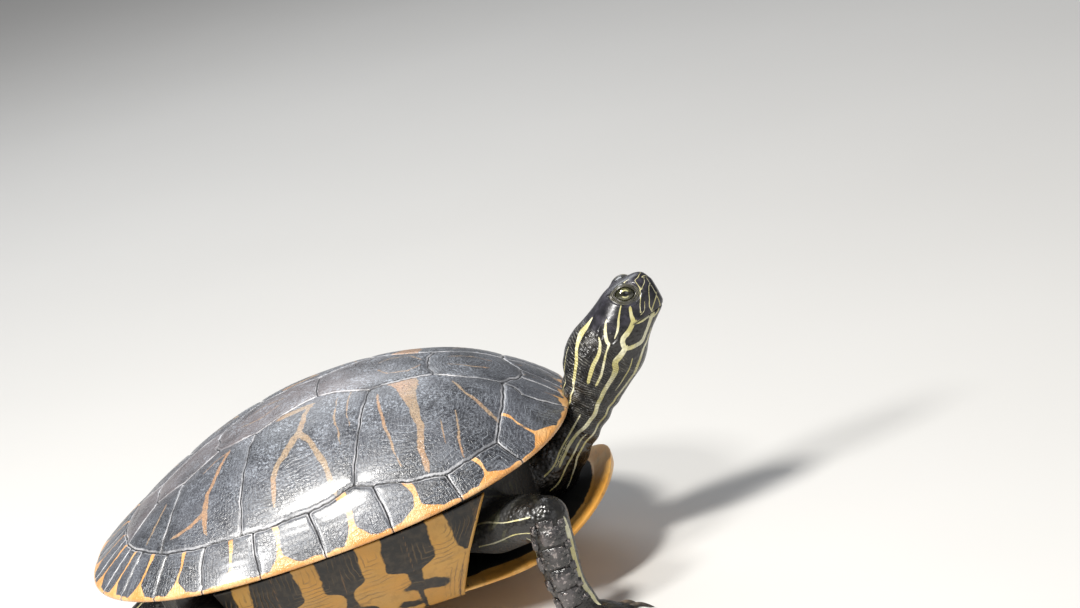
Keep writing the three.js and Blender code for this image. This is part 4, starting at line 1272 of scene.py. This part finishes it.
class Shape:
    """Closed surfaces gathered into one mesh."""

    def __init__(self):
        self.vertices, self.faces = np.zeros((0, 3)), []

    def add(self, vertices, faces):
        start = len(self.vertices)
        self.vertices = np.vstack([self.vertices, np.reshape(vertices, (-1, 3))])
        self.faces += [[i + start for i in face] for face in faces]

    def add_tube(self, tube, rings, sides):
        """A tube with rounded ends."""
        at = np.linspace(0, len(tube.rows) - 1, rings)
        turn = FULL_TURN * np.arange(sides) / sides
        grid = tube.point(*np.meshgrid(at, turn, indexing="ij"))
        centres = spline(tube.rows, at)[:, :3]
        first = rounded_cap(grid[0], centres[0], centres[0] - centres[1])
        last = rounded_cap(grid[-1], centres[-1], centres[-1] - centres[-2])
        grid = np.concatenate([first[::-1], grid, last])
        self.add(grid, tube_faces(len(grid), sides))

    def add_ball(self, centre, radii, heading=0.0):
        turn, lean = np.meshgrid(FULL_TURN * np.arange(24) / 24, np.linspace(0.06, HALF_TURN - 0.06, 14))
        x, y = np.sin(lean) * np.cos(turn) * radii[0], np.sin(lean) * np.sin(turn) * radii[1]
        c, s = math.cos(heading), math.sin(heading)
        grid = np.stack([x * c - y * s, x * s + y * c, np.cos(lean) * radii[2]], -1) + centre
        self.add(grid, tube_faces(14, 24))

    def keep_above_floor(self, height):
        """Keeps every vertex at least this high above the floor."""
        self.vertices[:, 2] = np.maximum(self.vertices[:, 2], height - SHELL_HEIGHT)


def add_leg(shape, leg):
    x, y, z, width, depth = leg["stations"][KNEE]
    shape.add_tube(upper_tube(leg), 16, 28)
    shape.add_tube(lower_tube(leg), 24, 28)
    shape.add_ball((x, y, z - SHELL_HEIGHT), [max(width, depth) * 0.98] * 3)
    length, across, height = leg["palm"]
    middle = (*leg["sole"], height * 0.62 - 0.2 - SHELL_HEIGHT)
    heading = math.radians(leg["heading"])
    shape.add_ball(middle, (length * 0.97, across * 0.97, height * 0.72), heading)
    radius = leg["toe_radius"]
    for k in range(TOES):
        knuckle, tip, _ = toe_reach(leg, k)
        root = (length * 0.45, radius + 1.4, radius * 1.2, radius * 1.05)
        joint = (knuckle, radius + 0.9, radius * 1.08, radius)
        end = (tip - 1.0, radius - 0.1, radius * 0.8, radius * 0.78)
        shape.add_tube(toe_tube(leg, k, [root, joint, end]), 12, 16)
    if leg.get("webbed"):
        add_web(shape, leg)


def add_web(shape, leg):
    """Skin between the toes: a scalloped fan that droops toward its edge."""
    angles = np.linspace(leg["toes"][0], leg["toes"][-1], 41)
    tips = np.interp(angles, leg["toes"], [toe_reach(leg, k)[1] for k in range(TOES)])
    dips = 0.5 - 0.5 * np.cos(FULL_TURN * (angles - leg["toes"][0]) / 20)
    shares = np.array([[0.3], [0.55], [0.8], [1.0]])
    reach, turn = tips * (0.86 - 0.16 * dips) * shares, np.radians(angles + leg["heading"])
    x, y = leg["sole"][0] + reach * np.cos(turn), leg["sole"][1] + reach * np.sin(turn)
    z = np.broadcast_to(3.9 - 1.5 * shares - SHELL_HEIGHT, x.shape)
    top, foot = (np.stack([x, y, z + side * WEB_THICKNESS / 2], -1) for side in (1, -1))
    grid = np.concatenate([top, foot[::-1]]).transpose(1, 0, 2)
    shape.add(grid, tube_faces(*grid.shape[:2]))


TRUNK_HALF_LENGTH = 101
TRUNK_ROUNDS_FROM, TRUNK_ROUNDING = 74.0, 28      # its front rounds off over this length
TRUNK_TAPERS_FROM, TRUNK_TAPER = -84, 0.42        # its rear loses this share of its width
TRUNK_WIDTH, TRUNK_FILL = 0.8, 0.118              # shares of the rim's half-width; more amidships
# Its foot is this share of the rim's width, or this far inside the plastron's edge if narrower.
TRUNK_FOOT_SHARE, TRUNK_FOOT_INSET = 0.66, 9
FOOT_FILL, FLANK_FILL = 6.0, 7                    # what foot and flank gain amidships
ROOM_UNDER_DOME, ROOM_OVER_PLASTRON = 8.0, 0.6


def trunk_ring(x):
    """The trunk's section at x, just inside the shell; its ends are smaller."""
    if x > TRUNK_ROUNDS_FROM:
        end = math.sqrt(1 - ((x - TRUNK_ROUNDS_FROM) / TRUNK_ROUNDING) ** 2)
    else:
        end = 1 - TRUNK_TAPER * smooth((TRUNK_TAPERS_FROM - x) / (TRUNK_HALF_LENGTH + TRUNK_TAPERS_FROM))
    wide = smooth((50 - abs(x - 2)) / 20)        # amidships it fills the space between the bridges
    top_half = (TRUNK_WIDTH + TRUNK_FILL * wide) * rim_half_width(x) * end
    foot_half = min(plastron_half_width(x) - TRUNK_FOOT_INSET, TRUNK_FOOT_SHARE * rim_half_width(x))
    foot_half = foot_half * end + FOOT_FILL * wide
    foot_z = plastron_underside(x) + PLASTRON_THICKNESS + ROOM_OVER_PLASTRON + 16 * (1 - end)
    y = top_half * np.sin(np.linspace(HALF_TURN / 2, -HALF_TURN / 2, 33))
    inward = np.minimum(0.9 / dome(x, y)[1], 1)
    z = dome(DOME_CENTRE_X + (x - DOME_CENTRE_X) * inward, y * inward)[0]
    z = z - ROOM_UNDER_DOME - 18 * (1 - end)
    flank_y, flank_z = (top_half + foot_half) / 2 + FLANK_FILL * wide, (z[0] + foot_z) / 2
    ring = [(x, *back) for back in zip(y, z)] + [(x, -flank_y, flank_z)]
    return ring + [(x, low, foot_z) for low in foot_half * np.linspace(-1, 1, 17)] + [(x, flank_y, flank_z)]


def add_trunk(shape):
    stations = -TRUNK_HALF_LENGTH * np.cos(np.linspace(0, HALF_TURN, 40))
    grid = shell_to_body([trunk_ring(x) for x in stations])
    shape.add(grid, tube_faces(*grid.shape[:2]))


# ---- Skin: stripes, and one mesh from all of it -----------------------------------------------

# Pale stripes of the right side of the head and neck: place along the tube, turn from the nape
# in degrees, and half-width.
NECK_STRIPES = [
    [(6.46, 22, 0.51), (6.94, 24, 1.44), (7.5, 26, 2.04), (8.02, 32, 1.44), (8.5, 38, 1.02),
     (9.38, 50, 0.94), (10.58, 52, 0.85), (10.92, 51, 0.51), (12.4, 48, 0.45)],
    [(6.86, 58, 0.32), (7.14, 66, 0.72), (7.74, 74, 0.88), (8.44, 76, 1.04), (9.06, 78, 1.04),
     (9.8, 80, 0.8)],
    [(5.7, 52, 0.4), (6.2, 58, 0.8), (6.62, 70, 0.88), (6.68, 76, 0.64), (7.2, 80, 0.48),
     (7.84, 87, 0.56), (8.78, 94, 0.64), (9.62, 94, 0.56)],
    [(4.26, 60, 0.24), (4.98, 70, 0.48), (5.46, 76, 0.56), (6.02, 78, 0.32)],
    [(3.72, 76, 0.72), (3.94, 85, 0.88), (4.12, 92, 1.2), (4.86, 93, 1.28), (5.54, 90, 1.28),
     (5.84, 92, 1.2), (6.02, 100, 1.28)],
    [(2.7, 117, 0.4), (3.34, 107, 0.72), (3.94, 97, 0.8), (4.2, 93, 0.96)],
    [(6.02, 100, 1.2), (6.64, 100, 1.52), (7.32, 100, 1.52), (7.78, 109, 1.52), (8.48, 112, 1.28),
     (9.32, 111, 1.2), (10.22, 110, 1.12), (10.92, 109, 1.12), (11.52, 110, 1.12), (12.1, 105, 1.04),
     (12.7, 95, 0.88), (13.12, 91, 0.8), (13.56, 90, 0.8), (13.94, 94.5, 0.72), (14.46, 98, 0.64)],
    [(12.0, 82, 0.3), (12.8, 78, 0.45), (13.6, 80, 0.4), (14.4, 88, 0.45), (15.1, 92, 0.4)],
    [(12.6, 112, 0.3), (13.3, 106, 0.5), (14.0, 110, 0.5), (14.7, 112, 0.5), (15.3, 120, 0.4)],
    [(2.22, 124, 1.2), (3.3, 131, 1.2), (4.34, 129, 1.2), (5.3, 114, 1.04), (5.84, 104, 1.12)],
    [(3.2, 152, 0.4), (4.0, 150, 0.8), (4.94, 139, 0.9), (6.14, 140, 1.04), (7.32, 148, 1.12),
     (8.48, 148, 1.04), (9.66, 142, 0.88), (10.38, 139, 0.88), (11.3, 136.5, 0.8), (12.2, 131, 0.72),
     (12.96, 123, 0.64), (13.62, 118.5, 0.6), (14.16, 129, 0.5), (15.0, 138, 0.5)],
    [(6.26, 121, 0.24), (7.12, 128, 0.4), (8.28, 132, 0.4), (9.18, 130, 0.24)],
    [(0.68, 26, 0.15), (0.5, 86, 0.22), (0.88, 130, 0.37), (1.68, 143, 0.48), (2.32, 135, 0.52)],
    [(0.5, 56, 0.11), (1.56, 88, 0.18), (2.16, 103, 0.26), (2.26, 119, 0.30)],
    [(0.1, 94, 0.15), (1.22, 106, 0.26), (2.1, 114, 0.30)],
    [(1.24, 4, 0.11), (1.72, 27, 0.15), (2.2, 34, 0.18), (2.16, 51, 0.15), (2.12, 64, 0.18),
     (2.44, 76, 0.22)],
    [(1.04, 31, 0.07), (1.24, 52, 0.11), (1.98, 66, 0.15)],
    [(2.54, 79, 0.22), (2.94, 88, 0.18), (3.2, 94, 0.22)],
    [(2.38, 90, 0.11), (2.8, 98, 0.11), (3.24, 97, 0.11)],
    [(2.84, 17, 0.24), (3.6, 19, 0.32), (4.36, 21, 0.24)],
    [(2.3, 172, 0.4), (3.4, 178, 0.6), (5, 180, 0.7), (8, 180, 0.7)],
    [(9, 18, 0.2), (11, 20, 0.3), (13, 20, 0.2)],
    [(0.45, 8, 0.2), (0.9, 22, 0.2), (1.24, 30, 0.17)],
]
# Stripes of the right legs (mirrored on the left): which pair, whether below the knee, places.
LEG_STRIPES = [
    ("front", True, [(0.3, 36, 1.2), (1.0, 32, 2.0), (1.9, 34, 1.7), (3.0, 30, 1.9), (4.4, 28, 1.0)]),
    ("front", True, [(0.2, 355, 0.3), (1.2, 351, 0.5), (2.2, 354, 0.3), (3.4, 349, 0.5), (4.4, 350, 0.3)]),
    ("front", True, [(0.6, 172, 0.3), (1.5, 168, 0.4), (2.6, 172, 0.3), (3.6, 168, 0.35)]),
    ("front", False, [(0.6, 70, 0.3), (1.3, 64, 0.45), (2.0, 72, 0.3), (2.8, 66, 0.4)]),
    ("front", False, [(0.6, 108, 0.3), (1.4, 114, 0.4), (2.2, 106, 0.3), (2.8, 112, 0.3)]),
    ("hind", False, [(0.8, 70, 0.4), (1.5, 64, 0.7), (2.1, 70, 0.5), (2.8, 66, 0.5)]),
    ("hind", False, [(0.8, 102, 0.4), (1.5, 97, 0.5), (2.2, 102, 0.3), (2.8, 98, 0.4)]),
    ("hind", True, [(0.2, 60, 0.4), (0.9, 64, 0.6), (1.7, 57, 0.4), (3.0, 58, 0.5)]),
    ("hind", True, [(0.2, 120, 0.3), (1.1, 116, 0.5), (2.0, 122, 0.3), (3.0, 120, 0.35)]),
]
TAIL_STRIPES = [
    [(1, 0, 0.5), (3, 0, 0.5), (5.4, 0, 0.3)], [(1, 60, 0.4), (3, 58, 0.4), (5.4, 55, 0.2)],
    [(1, 300, 0.4), (3, 302, 0.4), (5.4, 305, 0.2)], [(1, 120, 0.5), (3, 122, 0.5), (5.4, 120, 0.3)],
    [(1, 240, 0.5), (3, 238, 0.5), (5.4, 240, 0.3)],
]
STRIPE_REACH = 6.0             # how far from a stripe's middle its distance is worked out
VOXEL, QUICK_VOXEL = 0.0013, 0.002        # metres
# The shell hides the trunk this far out, as a share of the rim's width, and this far along.
HIDDEN_SHARE, HIDDEN_HALF_LENGTH = 0.74, 88
FACES_KEPT = 0.42
NECK_RADIUS, NECK_FROM = 26, 92           # skin this near the neck's middle line, and ahead of this


def stripe_paths():
    """Every stripe: the tube it is painted on, its places, and 1 or -1 for its side."""
    neck, tail = neck_tube(), tail_tube()
    paths = [(neck, line, side) for line in NECK_STRIPES for side in (1, -1)]
    for pair, below, line in LEG_STRIPES:
        for name, side in (("right", 1), ("left", -1)):
            leg = LEGS[f"{pair}_{name}"]
            paths.append((lower_tube(leg) if below else upper_tube(leg), line, side))
    return paths + [(tail, line, 1) for line in TAIL_STRIPES]


def stripe_segments():
    """Every stripe as short segments: start, end, surface normal, half-widths at both ends."""
    segments = []
    for tube, line, side in stripe_paths():
        at, turn, half = spline(line, np.linspace(0, len(line) - 1, 7 * (len(line) - 1) + 1)).T
        turn, half = np.radians(turn) * side, np.maximum(half, 0.12)
        points, normals = tube.point(at, turn), tube.normal(at, turn)
        for k in range(len(at) - 1):
            if np.linalg.norm(points[k + 1] - points[k]) > 1e-4:
                segments.append((points[k], points[k + 1], normals[k], half[k], half[k + 1]))
    return segments


def stripe_distances(points):
    """Signed and plain distance to the clearest stripe, and its half-width, for body points."""
    marks = np.repeat([[30.0], [30.0], [0.1], [1e9]], len(points), axis=1)
    for a, b, normal, half_a, half_b in stripe_segments():
        low, high = np.minimum(a, b) - STRIPE_REACH, np.maximum(a, b) + STRIPE_REACH
        pick = np.nonzero(((points > low) & (points < high)).all(1))[0]
        p, d = points[pick], b - a
        t = np.clip((p - a) @ d / (d @ d), 0, 1)
        apart = p - (a + t[:, None] * d)
        apart -= np.clip(apart @ normal, -1.5, 1.5)[:, None] * normal
        distance, half = np.linalg.norm(apart, axis=1), half_a + (half_b - half_a) * t
        side = distance * np.where(apart @ np.cross(normal, d) < 0, -1, 1)
        # The head's mesh is fine, so its lines may be told apart more closely.
        past = np.maximum(distance - half, 0) * (0.9 * smooth((p[:, 0] - 118) / 12))
        closer = distance - half < marks[3, pick]
        found = np.stack([side, distance + past, half, distance - half])
        marks[:, pick[closer]] = found[:, closer]
    return dict(zip(("stripe_side", "stripe_near", "stripe_width"), marks))


def modified(obj, kind, **settings):
    """Applies one modifier to the object's mesh."""
    modifier = obj.modifiers.new("step", kind)
    for key, value in settings.items():
        setattr(modifier, key, value)
    bpy.context.view_layer.update()
    graph = bpy.context.evaluated_depsgraph_get()
    mesh = bpy.data.meshes.new_from_object(obj.evaluated_get(graph))
    obj.modifiers.clear()
    old, obj.data = obj.data, mesh
    bpy.data.meshes.remove(old)


def body_points(obj):
    """The object's vertices in body millimetres."""
    points = np.empty(len(obj.data.vertices) * 3, np.float32)
    obj.data.vertices.foreach_get("co", points)
    return points.reshape(-1, 3).astype(float) * 1000 - ORIGIN


def body_skin():
    """Trunk, legs and tail as one mesh, coarser and softer where the shell hides it."""
    shape = Shape()
    add_trunk(shape)
    for leg in LEGS.values():
        add_leg(shape, leg)
    shape.add_tube(tail_tube(), 50, 24)
    shape.keep_above_floor(0.3)
    body = new_object("skin", shape.vertices, shape.faces)
    modified(body, "REMESH", mode="VOXEL", voxel_size=VOXEL)
    modified(body, "SMOOTH", factor=0.5, iterations=5)
    x, y, _ = np.abs(body_to_shell(body_points(body))).T
    hidden = (y < HIDDEN_SHARE * rim_half_width(x)) & (x < HIDDEN_HALF_LENGTH)
    body.vertex_groups.new(name="hidden").add(np.nonzero(hidden)[0].tolist(), 1.0, "REPLACE")
    modified(body, "DECIMATE", ratio=FACES_KEPT, vertex_group="hidden")
    modified(body, "SMOOTH", factor=0.5, iterations=8, vertex_group="hidden")
    body.vertex_groups.clear()
    return body


def build_skin(material):
    """One skin: the fine head and neck joined to the body."""
    skin = body_skin()
    neck = new_object("neck_skin", *neck_mesh())
    modified(skin, "BOOLEAN", operation="UNION", object=neck, solver="MANIFOLD")
    bpy.data.objects.remove(neck)
    limbs = ("upper_arm", "forearm", "hand", "thigh", "shank", "foot")
    replaced = ["trunk", "neck", "head", "jaw", "tail"]
    replaced += [f"{part}_{side}" for side in ("right", "left") for part in limbs]
    finished(skin, material, skin_attributes(body_points(skin)), replaced)


def along_path(points, path):
    """How far along a path of points the nearest one lies, in millimetres, and how near it is."""
    best, along = np.full(len(points), 1e9), np.zeros(len(points))
    for spot, length in zip(path, lengths_along(path)):
        distance = ((points - spot) ** 2).sum(1)
        closer = distance < best
        best[closer], along[closer] = distance[closer], length
    return along, np.sqrt(best)


def skin_attributes(points):
    """What the skin's colours and relief need to know at each vertex."""
    path = spline(neck_tube().rows, np.linspace(0, NECK_LAST, 260))[:, :3]
    along, near = along_path(points, path)
    above_chest = points[:, 2] > -34 + 0.1 * np.abs(points[:, 1])
    on_neck = (near < NECK_RADIUS) & (points[:, 0] > NECK_FROM) & above_chest
    head = to_head(points)
    oval = shape_lids(head)[1]
    above, nostril = mouth_and_nostril(head)
    back, up = head[:, 0], head[:, 1]
    mouth = np.where((back < MOUTH_LENGTH) & (back > -2) & (oval > 2), np.abs(above), 9)
    crown = smooth((37 - back + 0.55 * up) / 8) * smooth((up + 8 - 0.35 * back) / 7)
    shell = body_to_shell(points)
    beside = rim_half_width(shell[:, 0]) + 3 - np.abs(shell[:, 1])
    # Painted shade: how far in under the shell the skin lies, where its colour is darkened as if in shade.
    pocket_shade = smooth((112 - shell[:, 0]) / 9) * smooth(beside / 7) * (np.abs(shell[:, 0]) < 100)
    return {
        **stripe_distances(points),
        "along": np.where(on_neck, along, 0),
        "wrinkle": smooth((along - 33) / 6) * smooth((96 - along) / 30) * on_neck,
        # The crown, where the skin carries a painted bluish sky reflection and no grain.
        "head": crown * on_neck,
        "dark": np.minimum(mouth / 0.28, nostril / 0.75),
        "lid": oval,
        "pocket_shade": pocket_shade,
    }


# ---- Eyes, claws and scales -------------------------------------------------------------------


def build_eyes(material):
    """Eyeballs that the lids hug; attributes turn each vertex into a place on the iris."""
    rows, columns = 60, 80
    turns = FULL_TURN * np.arange(columns) / columns
    lean, turn = np.meshgrid(np.linspace(0, HALF_TURN, rows), turns, indexing="ij")
    ball = np.stack([np.sin(lean) * np.cos(turn), np.sin(lean) * np.sin(turn), np.cos(lean)], -1)
    cornea = EYE_RADIUS + 0.22 * bell(lean, 0.45)
    from_eye = ball * cornea[..., None] @ eye_frame()
    iris = dict(zip(("iris_x", "iris_y", "iris_z"), ball.reshape(-1, 3).T * EYE_RADIUS))
    for side, name in ((-1, "right"), (1, "left")):
        head = (from_eye * [-1, 1, 1] + EYE_PLACE) * [1, 1, side]
        faces = grid_faces(rows, columns, closed=True)
        eye = new_object(f"eyeball_{name}", from_head(head).reshape(-1, 3), faces)
        finished(eye, material, iris, [f"eye_{name}"])


CLAW_ROOT = 3.0                # how far inside the toe it starts
CLAW_THICKNESS, CLAW_ARCH = 1.65, 0.9


def claw_tube(leg, k):
    """A claw that starts inside its toe, arches and comes down to a point."""
    _, tip, end = toe_reach(leg, k)
    stations = []
    for share in np.linspace(0, 1, 8):
        arch = CLAW_ARCH * math.sin(HALF_TURN * min(share * 1.2, 1))
        high = leg["toe_radius"] + 0.5 + arch - (leg["toe_radius"] - 0.6) * share**2.2
        thick = CLAW_THICKNESS * (1 - share) ** 0.62 + 0.16
        reach = tip - CLAW_ROOT + (end - 0.3 - tip + CLAW_ROOT) * share
        stations.append((reach, high, thick * 0.82, thick))
    return toe_tube(leg, k, stations)


def build_claws(material):
    """Four sets of claws, each set one piece."""
    for name, leg in LEGS.items():
        shape = Shape()
        for k in range(TOES):
            shape.add_tube(claw_tube(leg, k), 20, 14)
        shape.keep_above_floor(0.15)
        claws = new_object(f"claws_{name}", shape.vertices, shape.faces)
        finished(claws, material, {})


# Large scales down the outer face of each forearm: place along the tube, turn, length, width.
ARM_SCALES = [
    (0.15, 100, 7.5, 9), (0.72, 84, 10, 14), (1.52, 95, 12, 15.5), (2.42, 86, 11.5, 15), (3.3, 92, 11, 13),
    (0.4, 140, 6, 5.5), (0.95, 150, 7, 5), (1.75, 152, 8.5, 5.5), (2.6, 148, 7, 5), (3.4, 152, 8, 5.5),
    (0.35, 52, 4.5, 4.5), (1.15, 48, 5, 4), (2.0, 50, 5, 4), (2.85, 46, 5, 4), (3.6, 50, 4, 4),
]


SCALE_POINTS = 15              # of a scale's mesh along each side
SCALE_RISE, SCALE_LIFT, SCALE_ROOT = 1.15, 0.3, 0.5      # its dome, its lower edge and its foot


def build_arm_scales(material):
    for name, flip in (("front_right", 1), ("front_left", -1)):
        tube, shape = lower_tube(LEGS[name]), Shape()
        for at, turn, length, width in ARM_SCALES:
            add_scale(shape, tube, at, flip * turn, length, width)
        scales = new_object(f"arm_scales_{name}", shape.vertices, shape.faces)
        finished(scales, material, {})


def add_scale(shape, tube, at, turn, length, width):
    """A domed scale whose lower edge lifts over the next one."""
    n = SCALE_POINTS
    u, v = np.meshgrid(np.linspace(-1, 1, n), np.linspace(-1, 1, n), indexing="ij")
    round_u, round_v = u * np.sqrt(1 - v**2 / 2), v * np.sqrt(1 - u**2 / 2)
    u, v = 0.35 * u + 0.65 * round_u, 0.35 * v + 0.65 * round_v
    spot, ahead = tube.point(at, math.radians(turn)), tube.point(at + 0.1, math.radians(turn))
    per_row = np.linalg.norm(ahead - spot) * 10
    per_degree = np.linalg.norm(tube.point(at, math.radians(turn + 5)) - spot) / 5
    places, turns = at + u * length / 2 / per_row, np.radians(turn + v * width / 2 / per_degree)
    surface, normal = tube.point(places, turns), tube.normal(places, turns)
    rim = 1 - np.clip(np.maximum(np.abs(u), np.abs(v)), 0, 1) ** 2.4
    lift = 0.1 + SCALE_RISE * rim + SCALE_LIFT * (u + 1) / 2
    grid = np.concatenate([surface + normal * lift[..., None], surface - normal * SCALE_ROOT])
    faces = grid_faces(n, n) + grid_faces(n, n, start=n * n)
    number = np.arange(n * n).reshape(n, n)
    edge = np.r_[number[0, :-1], number[:-1, -1], number[-1, :0:-1], number[:0:-1, 0]].tolist()
    faces += [(a, b, b + n * n, a + n * n) for a, b in zip(edge, edge[1:] + edge[:1])]
    shape.add(grid, faces)


# ---- Camera, floor and lights -------------------------------------------------------------------

PHOTO_SIZE = (1080, 608)
CAMERA_PLACE = (203.0, -1449.9, 515.2)      # body millimetres
LOOK_RIGHT = (0.9702, 0.0518, -0.2367)      # axes of a camera that faces the shell's middle
LOOK_UP = (0.2039, 0.3530, 0.9131)
SHELL_PIXEL = (335.28, 488.59)              # where the photo shows the shell's middle
FOCAL_PIXELS = 2994.0
SENSOR_WIDTH = 36.0
FLOOR_HALF, FLOOR_DROP = 8.0, 0.0002        # metres; the drop keeps the floor clear of the feet
WORLD_COLOUR, WORLD_STRENGTH = (0.93, 0.95, 1.0, 1), 0.26
# Name, position, target, size, watts and colour.
LIGHTS = [
    ("key", (-0.44, -0.66, 1.50), (0, 0, 0.07), 0.26, 34, (1.0, 0.97, 0.92)),
    ("cheek", (-0.88, -0.90, 1.18), (0.1, 0, 0.1), 0.26, 20, (1.0, 0.98, 0.95)),
    ("fill", (0.9, -1.1, 0.9), (0, 0, 0.08), 0.9, 2.6, (0.95, 0.97, 1.0)),
    ("rim", (-0.3, 1.2, 1.2), (0, 0, 0.08), 0.9, 8, (0.93, 0.96, 1.0)),
]


def in_scene(name, data):
    obj = bpy.data.objects.new(name, data)
    bpy.context.scene.collection.objects.link(obj)
    return obj


def build_camera():
    camera = in_scene("camera", bpy.data.cameras.new("camera"))
    camera.data.sensor_width = SENSOR_WIDTH
    camera.data.lens = FOCAL_PIXELS / PHOTO_SIZE[0] * SENSOR_WIDTH
    camera.data.clip_start, camera.data.clip_end = 0.05, 50
    right, up = Vector(LOOK_RIGHT), Vector(LOOK_UP)
    facing = Matrix((right, up, right.cross(up))).transposed()
    across, down = (p - size / 2 for p, size in zip(SHELL_PIXEL, PHOTO_SIZE))
    seen = Vector((across, -down, -FOCAL_PIXELS)).normalized()
    turn = Vector((0, 0, -1)).rotation_difference(seen).to_matrix()
    camera.matrix_world = (facing @ turn.inverted()).to_4x4()
    camera.location = place(CAMERA_PLACE)
    bpy.context.scene.camera = camera


def build_light(name, position, target, size, power, colour):
    data = bpy.data.lights.new(name, "AREA")
    data.size, data.energy, data.color = size, power, colour
    light = in_scene(name, data)
    light.location = position
    light.rotation_mode = "QUATERNION"
    light.rotation_quaternion = (Vector(target) - Vector(position)).to_track_quat("-Z", "Y")


def build_floor():
    f = Finish("pale_floor", roughness=0.9)
    corners = [(-1, -1), (1, -1), (1, 1), (-1, 1)]
    mesh = bpy.data.meshes.new("floor")
    vertices = [(x * FLOOR_HALF, y * FLOOR_HALF, -FLOOR_DROP) for x, y in corners]
    mesh.from_pydata(vertices, [], [(0, 1, 2, 3)])
    mesh.materials.append(f.finish(f.mix((0.56, 0.555, 0.54), (0.60, 0.595, 0.58), f.noise(3, 2))))
    in_scene("floor", mesh)


def build_stage():
    build_floor()
    world = bpy.data.worlds.new("studio")
    world.use_nodes = True
    background = world.node_tree.nodes["Background"]
    background.inputs["Color"].default_value = WORLD_COLOUR
    background.inputs["Strength"].default_value = WORLD_STRENGTH
    bpy.context.scene.world = world
    for light in LIGHTS:
        build_light(*light)
    bpy.context.scene.view_settings.view_transform = "Standard"


# ---- Assembly -----------------------------------------------------------------------------------

build_camera()
build_stage()
horn, amber = carapace_finish(), plastron_finish()
build_carapace(horn)
build_plastron(amber)
build_bridge("right", -1, amber)
build_bridge("left", 1, amber)
build_skin(skin_finish())
build_arm_scales(arm_scale_finish())
build_claws(claw_finish())
build_eyes(eye_finish())
